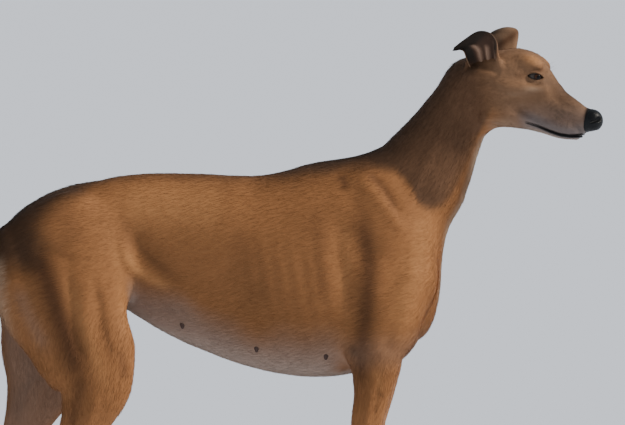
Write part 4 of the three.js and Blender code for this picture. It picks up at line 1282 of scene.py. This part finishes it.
def makeEar(name, side):
    moved = [(fx + (side > 0) * ahead, fz + (side > 0) * up, *rest)
             for (fx, fz, *rest), (ahead, up) in zip(earStations, leftHem)]
    rows = throughRows(moved, earLook["between"])
    arc = np.linspace(-earLook["arc"], earLook["arc"], earLook["across"])
    outward = unit(np.array([0.1, side, 0.2]))
    rings, marks = [], []
    for i, (frontX, frontZ, rearX, rearZ, out, depth, thick) in enumerate(rows):
        along = i / (len(rows) - 1)
        front, rear = np.array([frontX, side * out, frontZ]), np.array([rearX, side * out, rearZ])
        wide = unit(front - rear)
        half = np.linalg.norm(front - rear) / 2
        deep = -unit(outward - outward.dot(wide) * wide)
        middle = (front + rear) / 2 + (0, 0, earLook["leftLift"] * (side > 0))
        middle = middle + deep * 1.2 * math.sin(along * 9) * along

        def wall(angle, inset):
            return (middle + np.outer(np.sin(angle) * (half - inset), wide)
                    + np.outer(np.cos(angle) * (depth - inset) - earLook["tuck"] * depth, deep))

        thin = thick * (0.42 + 0.58 * np.cos(arc / earLook["arc"] * math.pi / 2) ** 0.5)
        ridge = earRidgeAt(arc, along)
        outer = wall(arc, 0.5 * np.sin(arc * 7 + along * 8) * np.cos(arc * 0.8))
        inner = wall(arc, thin + np.minimum(ridge, 0.45 * depth))
        hems = []
        for end in (0, -1):
            lip = outer[end] - outer[1 if end == 0 else -2]
            hems.append((outer[end] + inner[end]) / 2 + unit(lip) * thin[end] * earLook["hem"])
        rings.append(np.vstack([outer, hems[1][None], inner[::-1], hems[0][None]]))
        share = arc / earLook["arc"]
        ridgeShare = np.minimum(ridge / 3.0, 1)
        marks.append(np.vstack([
            np.stack([np.zeros_like(arc), share, np.full_like(arc, along), 0 * arc], 1), [[0.5, 1, along, 0]],
            np.stack([np.ones_like(arc), share[::-1], np.full_like(arc, along), ridgeShare[::-1]], 1),
            [[0.5, -1, along, 0]]]))
    loop = len(rings[0])
    across = earLook["across"]
    faces = wallFaces(len(rings), loop)
    for start in (0, (len(rings) - 1) * loop):  # both ends are closed between the walls
        last = start + 2 * across
        faces += [(start + k, start + k + 1, last - 1 - k, last - k) for k in range(across - 1)]
        faces += [(start + across - 1, start + across, start + across + 1), (start, last, last + 1)]
    ear = gather(name, [(np.vstack(rings), faces)], onHead=True)
    return ear, np.vstack(marks)


def earColours(marks):
    inside, across, along, ridge = marks.T
    # a painted shadow under the fold across the back of the ear
    band = np.exp(-((along - 0.38 - 0.06 * across) / 0.05) ** 2) * (across > -0.8)
    rear = smoothstep(across, 0.84, 0.96) * smoothstep(along, 0.24, 0.36)
    front = smoothstep(-across, 0.30, 0.46) * smoothstep(along, 0.14, 0.34)
    back = [  # colour and share, one over the other
        ("umber", 0.75 * band),
        # painted shade along the front hem
        ("umber", 0.70 * smoothstep(across, 0.80, 0.97) * smoothstep(along, 0.05, 0.2)),
        ("earShade", 0.80 * rear),
        ("earShade", 0.85 * smoothstep(along, 0.50, 0.70)),
    ]
    hollow = [
        ("earInside", 0.95 * smoothstep(along, 0.16, 0.26)),
        # painted shade in the grooves inside the cup, and the ridges between them painted lighter, as if lit
        ("earShade", 0.72 * (1 - ridge) * smoothstep(along, 0.16, 0.28)),
        ("earRidge", 0.85 * ridge),
        ("earShade", 0.92 * front),
        ("earShade", 0.85 * smoothstep(along, 0.50, 0.66)),
        # a painted shadow in the hollow by the front edge
        ("earShade", 0.9 * spot(marks[:, 1:3], (0.62, 0.36), (0.18, 0.10))),
    ]
    colour = np.tile(np.array(palette["cheek"]), (len(marks), 1))
    sides = []
    for layers in (back, hollow):
        for name, share in layers:
            colour = blendColour(colour, name, share)
        sides.append(colour)
    share = smoothstep(inside, 0.6, 0.9)[:, None]
    return sides[0] * (1 - share) + sides[1] * share


for name, side in (("ear_right", -1), ("ear_left", 1)):
    ear, earMarks = makeEar(name + "_cup", side)
    paintCoat(ear, lambda points, normals: earColours(earMarks))
    ear.data.materials.append(coat)
    keep(ear, "ear_coat", name)

# lids: a dark rim along the almond in which each eye lies
lidLook = {"points": 72, "radius": 0.48, "reach": 12.9, "sides": 10, "proud": 0.75}


def lidRim(side):
    turn = np.linspace(0, 2 * math.pi, lidLook["points"], endpoint=False)
    u = lidOpening["half"] * 0.95 * np.cos(turn)
    top, bottom = lidHeights(u)
    v = np.where(np.sin(turn) > 0, top, -bottom)
    v *= np.clip(np.abs(np.sin(turn)) * 3.2, 0, 1)
    ballRadius = eyeRadius + lidLook["proud"]
    w = np.sqrt(np.maximum(lidLook["reach"] ** 2 - u * u - v * v, 4)) * ballRadius / lidLook["reach"]
    ring = eyeCentre + np.outer(u, eyeAlong) + np.outer(v, eyeRise) + np.outer(w, eyeOut)
    ring = ring * (1, side, 1)
    centre = ring.mean(0)
    away = unit(ring - centre)
    out = unit(eyeOut * (1, side, 1))
    sides = lidLook["sides"]
    angle = np.linspace(0, 2 * math.pi, sides, endpoint=False)[:, None]
    thick = lidLook["radius"] * (1 + 0.25 * (np.sin(turn) > 0))
    rings = ring[:, None] + thick[:, None, None] * (np.cos(angle) * away[:, None] + np.sin(angle) * out)
    return rings.reshape(-1, 3), wallFaces(len(ring), sides, closed=True)


darkSkin = leatherMaterial("dark skin", lidLeather)
lids = gather("lid_rims", [lidRim(-1), lidRim(1)], onHead=True)
lids.data.materials.append(darkSkin)
keep(lids, "nose_leather")

# lips: black skin along the line of the mouth, thickest on the lower lip
lipLook = {"below": 1.9, "lower": 2.1, "upper": 0.8, "sink": 0.8, "chinStart": 176, "chinTurns": 13}


def bareHead(points):
    return headField(points, folds=False)


def lipPath(level, last):  # from the right corner of the mouth round the chin to the left one
    x = np.linspace(102, last, 34)
    z = heightOn(mouthLine, x) + level
    start = np.stack([x, 0 * x, z], 1)
    out = surfaceAt(bareHead, start, np.tile([[0.0, 1, 0]], (len(x), 1)))
    flank = np.stack([x, out - lipLook["sink"], z], 1)
    turn = np.linspace(math.pi / 2, -math.pi / 2, lipLook["chinTurns"])[1:-1]
    way = np.stack([np.cos(turn), np.sin(turn), 0 * turn], 1)
    middle = np.tile([[x[-1], 0, z[-1]]], (len(turn), 1))
    around = middle + way * (surfaceAt(bareHead, middle, way) - lipLook["sink"])[:, None]
    return np.vstack([flank * (1, -1, 1), around[::-1], flank[::-1]])


def lipTube(level, last, radius):
    path = throughRows(lipPath(level, last), 2)
    share = np.abs(np.linspace(-1, 1, len(path)))
    radii = radius * (0.22 + 0.78 * smoothstep(-share, -1.0, -0.22))
    return tube(path, radii, 12, 0.85)


lips = gather("lips", [lipTube(-lipLook["below"], lipLook["chinStart"], lipLook["lower"]),
                       lipTube(0.6, 184, lipLook["upper"])], onHead=True)
lips.data.materials.append(darkSkin)
keep(lips, "nose_leather")

# whiskers
whiskerLook = {
    "seed": 7, "radius": 0.2, "steps": 7, "bend": (-0.10, 0, -0.32),
    "rows": 4, "inRow": 4, "length": (16, 30), "brows": 3, "browLength": (14, 22), "root": 1.5,
}


def makeWhiskers():
    random = np.random.default_rng(whiskerLook["seed"])
    parts = []

    def whisker(root, way, length, side):
        t = np.linspace(0, 1, whiskerLook["steps"])[:, None]
        path = root + unit(way) * length * t + np.array(whiskerLook["bend"]) * length * t ** 2
        parts.append(tube(path * (1, side, 1), whiskerLook["radius"] * (1.05 - t[:, 0]), 5, 1.0, (0, 1, 0.3)))

    for side in (-1, 1):
        for row in range(whiskerLook["rows"]):
            for k in range(whiskerLook["inRow"]):
                x = 153 + 10 * k + random.uniform(-2, 2)
                z = 768 + 5.5 * row - 0.1 * (x - 150) + random.uniform(-1, 1)
                out = surfaceAt(bareHead, [x, 0, z], [0, 1, 0])[0]
                way = np.array([0.45 - 0.12 * k, 0.85, 0.10 * row - 0.25]) + random.uniform(-0.08, 0.08, 3)
                root = np.array([x, out - whiskerLook["root"], z])
                whisker(root, way, random.uniform(*whiskerLook["length"]), side)
        for k in range(whiskerLook["brows"]):
            root = np.array([124 + 6 * k, 0, 862 - 4 * k])
            out = surfaceAt(bareHead, root, [0, 1, 0])[0]
            way = np.array([0.5, 0.5, 0.6]) + random.uniform(-0.1, 0.1, 3)
            root = root + (0, out - whiskerLook["root"], 0)
            whisker(root, way, random.uniform(*whiskerLook["browLength"]), side)
    return gather("whiskers", parts, onHead=True)


whiskers = makeWhiskers()
hornLook = {"dark": (0.018, 0.013, 0.010), "light": (0.12, 0.085, 0.060), "roughness": 0.32}


def hornMaterial(look):
    shader = Shader("horn")
    grain = shader.noise(shader.place(), 420.0, 3.0)
    wear = shader.noise(shader.place(), 90.0, 2.0)
    age = (grain * 0.5 + wear * 0.5).between(0.42, 0.68)
    colour = shader.mixColour((*look["dark"], 1), (*look["light"], 1), age)
    shader.set(Base_Color=colour, Roughness=look["roughness"] + (grain - 0.5) * 0.2,
               Normal=shader.bump(grain, 0.0003, 0.5), Specular_IOR_Level=0.4)
    return shader.material


horn = hornMaterial(hornLook)
whiskers.data.materials.append(horn)
keep(whiskers, "claw")

# claws: x beyond the toe, z and radius, and for the dewclaws x, out, z and radius
clawRows = [
    (-9, 12.4, 3.3), (-3, 12.2, 3.3), (2, 10.6, 2.9), (6, 7.6, 2.1), (8.6, 4.4, 1.1), (9.4, 2.9, 0.35),
]
dewclawRows = [(121, 44, 92, 3.4), (124.5, 41.2, 88.5, 3.2), (128, 40, 84.5, 2.6), (130, 40, 80.5, 0.7)]


def makeClaws():
    parts = []
    for kind in ("fore", "hind"):
        for side in (-1, 1):
            standX, standY = standOf(kind, side)
            for out, ahead in toes:
                far = paws[kind]["length"] + ahead
                path = throughRows([(standX + far + x, standY + out, z, r) for x, z, r in clawRows], 4)
                parts.append(tube(path[:, :3], path[:, 3], 12, 1.0, (0.3, 0, 1)))
            if kind == "fore":
                ahead = farForeAhead * (side > 0)
                path = throughRows([(x + ahead, side * y, z, r) for x, y, z, r in dewclawRows], 4)
                parts.append(tube(path[:, :3], path[:, 3], 10, 1.0, (0, 1, 0)))
    return gather("claws", parts)


claws = makeClaws()
claws.data.materials.append(horn)
keep(claws, "claw")

# teats, in two rows below
teats = {
    "places": [(72, 21), (-42, 23), (-164, 25)],  # x, out
    "lean": 0.35,
    # how far beyond the skin, and the radius there
    "rows": [(-4, 4.6), (-0.5, 4.1), (1.8, 3.2), (4.0, 2.4), (5.4, 1.6), (6.0, 0.6)],
}


def makeTeats():
    parts = []
    for x, out in teats["places"]:
        for side in (-1, 1):
            way = unit(np.array([0.0, side * teats["lean"], -1.0]))
            start = np.array([x, side * out, 480.0])
            skinPoint = start + way * surfaceAt(skinField, start, way, 180.0)[0]
            path = throughRows([(*(skinPoint + way * along), r) for along, r in teats["rows"]], 3)
            parts.append(tube(path[:, :3], path[:, 3], 14, 1.0, (1, 0, 0)))
    return gather("teats", parts)


teatPiece = makeTeats()
paintCoat(teatPiece, lambda points, normals: np.tile(np.array(palette["teat"]), (len(points), 1)))
teatPiece.data.materials.append(coat)
keep(teatPiece, "coat")
print("ears, lids, lips, whiskers, claws and teats made")

# the coat's own relief: short flat tufts that lie along her, thickest where the form breaks
tuftLook = {
    "most": 150000.0,  # per square metre where the share is 1
    "length": 0.0105, "width": 0.0011, "flatness": 0.34,  # m, on her body
    "lift": math.radians(6.5), "sway": 0.22,
    "seed": 11, "patch": 0.0015,
}
tuftInputs = ["Most", "Length", "Width", "Flatness", "Lift", "Sway"]
tuftAttributes = ["rootPlace", "lie", "tuftShare", "tuftSize"]
tuftBorders = [-0.60, -0.385, -0.265, -0.06, 0.125, 0.265, 0.60]  # m, x where one piece of the coat ends


def unwrapSkin(thing):  # an unwrap of the skin's own shape
    thing.data.uv_layers.new(name="OFBake")
    bpy.context.view_layer.objects.active = thing
    bpy.ops.object.select_all(action="DESELECT")
    thing.select_set(True)
    bpy.ops.object.mode_set(mode="EDIT")
    bpy.ops.mesh.select_all(action="SELECT")
    bpy.ops.uv.smart_project(angle_limit=math.radians(66), island_margin=0.002)
    bpy.ops.object.mode_set(mode="OBJECT")


def tuftPlan(points, normals):  # how many tufts grow at each point, and their size
    x, y, z = points.T
    nx, nz = normals[:, 0], normals[:, 2]
    headShare, _, legShare = regionShares(points)
    face = mirrored(turnToHead(points))
    hx, hz = face[:, 0], face[:, 2]
    share = np.full(len(points), 0.42)
    size = np.full(len(points), 1.0)
    breech = smoothstep(-nx, 0.25, 0.8) * (x < -300) * (z > 230)
    belly = smoothstep(-nz, -0.1, 0.5) * (z > 330) * (z < 520) * (x > -330)
    chest = smoothstep(nx, 0.4, 0.85) * (x > 150) * (z < 700) * (z > 380)
    crest = smoothstep(nz, 0.55, 0.9) * (x > -40) * (x < 320)
    share += 0.45 * np.maximum.reduce([breech, belly, chest, crest])
    size += 0.35 * breech + 0.15 * chest
    onTail = (x < -486) & (np.abs(y) < 24)
    share[onTail] = 0.8
    size = size * (1 - 0.5 * headShare) * (1 - 0.35 * legShare * (z < 300)) * np.where(z < 60, 0.6, 1)
    share += 0.45 * headShare
    size *= 1 - 0.35 * headShare * smoothstep(hx, 60, 150)
    rel = face - eyeCentre
    nearEye = almond(rel @ eyeAlong, rel @ eyeRise)
    bare = headShare * ((hx > 196) | ((nearEye < 1.7) & (np.linalg.norm(rel, axis=1) < 26)))
    bare = np.maximum(bare, headShare * (np.abs(hz - heightOn(mouthLine, hx) + 0.8) < 4.2) * (hx > 96))
    share *= (bare < 0.5) & ~((z < 14) & (nz < -0.3))
    return share, size


def tuftTree(material):
    tree = bpy.data.node_groups.new("tufts", "GeometryNodeTree")
    inputs = {}

    def addSocket(name, kind, way="INPUT"):
        socket = tree.interface.new_socket(name, in_out=way, socket_type="NodeSocket" + kind)
        inputs[name] = socket.identifier

    addSocket("Geometry", "Geometry", "OUTPUT")
    addSocket("Geometry", "Geometry")
    for name in tuftInputs + ["From", "To"]:
        addSocket(name, "Float")
    addSocket("Seed", "Int")
    given = tree.nodes.new("NodeGroupInput").outputs
    result = tree.nodes.new("NodeGroupOutput")

    def math2(operation, a, b=0.0):
        return addNode(tree, "ShaderNodeMath", {"operation": operation}, {0: a, 1: b}).outputs[0]

    def named(name, kind="FLOAT"):
        node = addNode(tree, "GeometryNodeInputNamedAttribute", {"data_type": kind}, {"Name": name})
        return node.outputs["Attribute"]

    def drawn(low, high, seed):
        values = {"Min": low, "Max": high, "Seed": seed}
        return addNode(tree, "FunctionNodeRandomValue", {"data_type": "FLOAT"}, values).outputs[1]

    position = tree.nodes.new("GeometryNodeInputPosition").outputs[0]
    place = addNode(tree, "ShaderNodeSeparateXYZ", None, {0: position}).outputs[0]
    past, short = math2("GREATER_THAN", place, given["From"]), math2("LESS_THAN", place, given["To"])
    density = math2("MULTIPLY", given["Most"], named("tuftShare"))
    density = math2("MULTIPLY", density, math2("MULTIPLY", past, short))
    roots = addNode(tree, "GeometryNodeDistributePointsOnFaces", {"distribute_method": "RANDOM"},
                   {"Mesh": given["Geometry"], "Density": density, "Seed": given["Seed"]})
    stem = addNode(tree, "GeometryNodeMeshCone", {"fill_type": "NGON"}, {
        "Vertices": 3, "Side Segments": 2, "Fill Segments": 1,
        "Radius Top": 0.0, "Radius Bottom": 0.5, "Depth": 1.0})
    laid = addNode(tree, "GeometryNodeTransform", None, {
        "Geometry": stem.outputs["Mesh"], "Rotation": (0, math.pi / 2, 0)})
    turned = addNode(tree, "FunctionNodeAxesToRotation", {"primary_axis": "Z", "secondary_axis": "X"},
                    {"Primary Axis": roots.outputs["Normal"], "Secondary Axis": named("lie", "FLOAT_VECTOR")})
    swing = addNode(tree, "ShaderNodeCombineXYZ", None, {
        "Y": math2("MULTIPLY", given["Lift"], drawn(-1.5, -0.6, 5)),
        "Z": math2("MULTIPLY", given["Sway"], drawn(-1.0, 1.0, 6))})
    spin = addNode(tree, "FunctionNodeEulerToRotation", None, {0: swing.outputs[0]})
    tilted = addNode(tree, "FunctionNodeRotateRotation", {"rotation_space": "LOCAL"}, {
        0: turned.outputs[0], 1: spin.outputs[0]})
    size = math2("MULTIPLY", named("tuftSize"), drawn(0.7, 1.3, 7))
    wide = math2("MULTIPLY", given["Width"], math2("POWER", size, 0.5))
    scale = addNode(tree, "ShaderNodeCombineXYZ", None, {
        "X": math2("MULTIPLY", given["Length"], size), "Y": wide,
        "Z": math2("MULTIPLY", wide, given["Flatness"])})
    grown = addNode(tree, "GeometryNodeInstanceOnPoints", None, {
        "Points": roots.outputs["Points"], "Instance": laid.outputs[0],
        "Rotation": tilted.outputs[0], "Scale": scale.outputs[0]})
    real = addNode(tree, "GeometryNodeRealizeInstances", None, {"Geometry": grown.outputs[0]})
    coated = addNode(tree, "GeometryNodeSetMaterial", None, {
        "Geometry": real.outputs[0], "Material": material})
    tree.links.new(coated.outputs[0], result.inputs[0])
    return tree, inputs


def dropAttributes(mesh):
    for name in tuftAttributes:
        mesh.attributes.remove(mesh.attributes[name])


def bakePatches(mesh):  # each tuft is a small patch at its root's place on the skin's unwrap
    count = len(mesh.vertices)
    roots = np.empty(count * 3, np.float32)
    mesh.attributes["rootPlace"].data.foreach_get("vector", roots)
    corners = np.array([(-1, -1), (1, -1), (0, -1), (-0.6, 0), (0.6, 0), (0, 0), (0, 1)])
    corners = corners[np.arange(count) % len(corners)]
    flat = roots.reshape(-1, 3)[:, :2] + tuftLook["patch"] * corners
    loops = np.empty(len(mesh.loops), np.int32)
    mesh.loops.foreach_get("vertex_index", loops)
    layer = mesh.uv_layers.new(name="OFBake")
    layer.uv.foreach_set("vector", flat[loops].astype(np.float32).ravel())
    dropAttributes(mesh)


def growTufts(thing, look):
    points, normals = meshArrays(thing.data)
    share, size = tuftPlan(points, normals)
    writeAttribute(thing.data, "tuftShare", "FLOAT", share)
    writeAttribute(thing.data, "tuftSize", "FLOAT", size)
    writeAttribute(thing.data, "lie", "FLOAT_VECTOR", lieOf(points, normals))
    loops = len(thing.data.loops)
    uv = np.zeros((loops, 3), np.float32)
    flat = np.empty(loops * 2, np.float32)
    thing.data.uv_layers["OFBake"].uv.foreach_get("vector", flat)
    uv[:, :2] = flat.reshape(-1, 2)
    rootPlace = thing.data.attributes.new("rootPlace", "FLOAT_VECTOR", "CORNER")
    rootPlace.data.foreach_set("vector", uv.ravel())
    tree, inputs = tuftTree(coat)
    total = 0
    for k, (start, end) in enumerate(zip(tuftBorders, tuftBorders[1:])):
        source = thing.copy()
        bpy.context.scene.collection.objects.link(source)
        modifier = source.modifiers.new("tufts", "NODES")
        modifier.node_group = tree
        settings = {name: look[name.lower()] for name in tuftInputs}
        for name, value in dict(settings, From=start, To=end, Seed=look["seed"] + k).items():
            modifier[inputs[name]] = value
        evaluated = source.evaluated_get(bpy.context.evaluated_depsgraph_get())
        mesh = bpy.data.meshes.new_from_object(evaluated)
        source.modifiers.remove(modifier)
        bpy.data.objects.remove(source)
        mesh.name = f"coat_tufts_{k + 1}"
        bakePatches(mesh)
        keep(addObject(mesh.name, mesh), "coat")
        mesh.calc_loop_triangles()
        total += len(mesh.loop_triangles)
        print("tufts", k + 1, len(mesh.loop_triangles), "triangles")
    dropAttributes(thing.data)
    return total


unwrapSkin(skin)
print("skin unwrapped")
print("tufts grown,", growTufts(skin, tuftLook), "triangles")

studio = {
    "floorSize": 1200.0,
    "floorColour": (0.76, 0.81, 0.90, 1),
    "worldColour": (0.80, 0.88, 1.0, 1),
    "worldStrength": 0.50,
    "keyFrom": (0.80, -0.17, 0.56),  # ahead of her, above, and a little to her right
    "keyStrength": 4.3,
    "keySoftness": math.radians(9),
    "keyColour": (1.0, 0.93, 0.84),
}


def makeStudio(setup):
    half = setup["floorSize"] / 2
    mesh = bpy.data.meshes.new("floor")
    corners = [(-half, -half, 0), (half, -half, 0), (half, half, 0), (-half, half, 0)]
    mesh.from_pydata(corners, [], [(0, 1, 2, 3)])
    floor = addObject("floor", mesh)
    shader = Shader("pale floor")
    shader.set(Base_Color=setup["floorColour"], Roughness=0.9)
    mesh.materials.append(shader.material)
    world = bpy.data.worlds.new("studio")
    world.use_nodes = True
    background = world.node_tree.nodes["Background"]
    background.inputs["Color"].default_value = setup["worldColour"]
    background.inputs["Strength"].default_value = setup["worldStrength"]
    bpy.context.scene.world = world
    data = bpy.data.lights.new("key", "SUN")
    data.energy = setup["keyStrength"]
    data.angle = setup["keySoftness"]
    data.color = setup["keyColour"]
    key = addObject("key", data)
    key.rotation_euler = Vector(setup["keyFrom"]).to_track_quat("Z", "Y").to_euler()


makeStudio(studio)
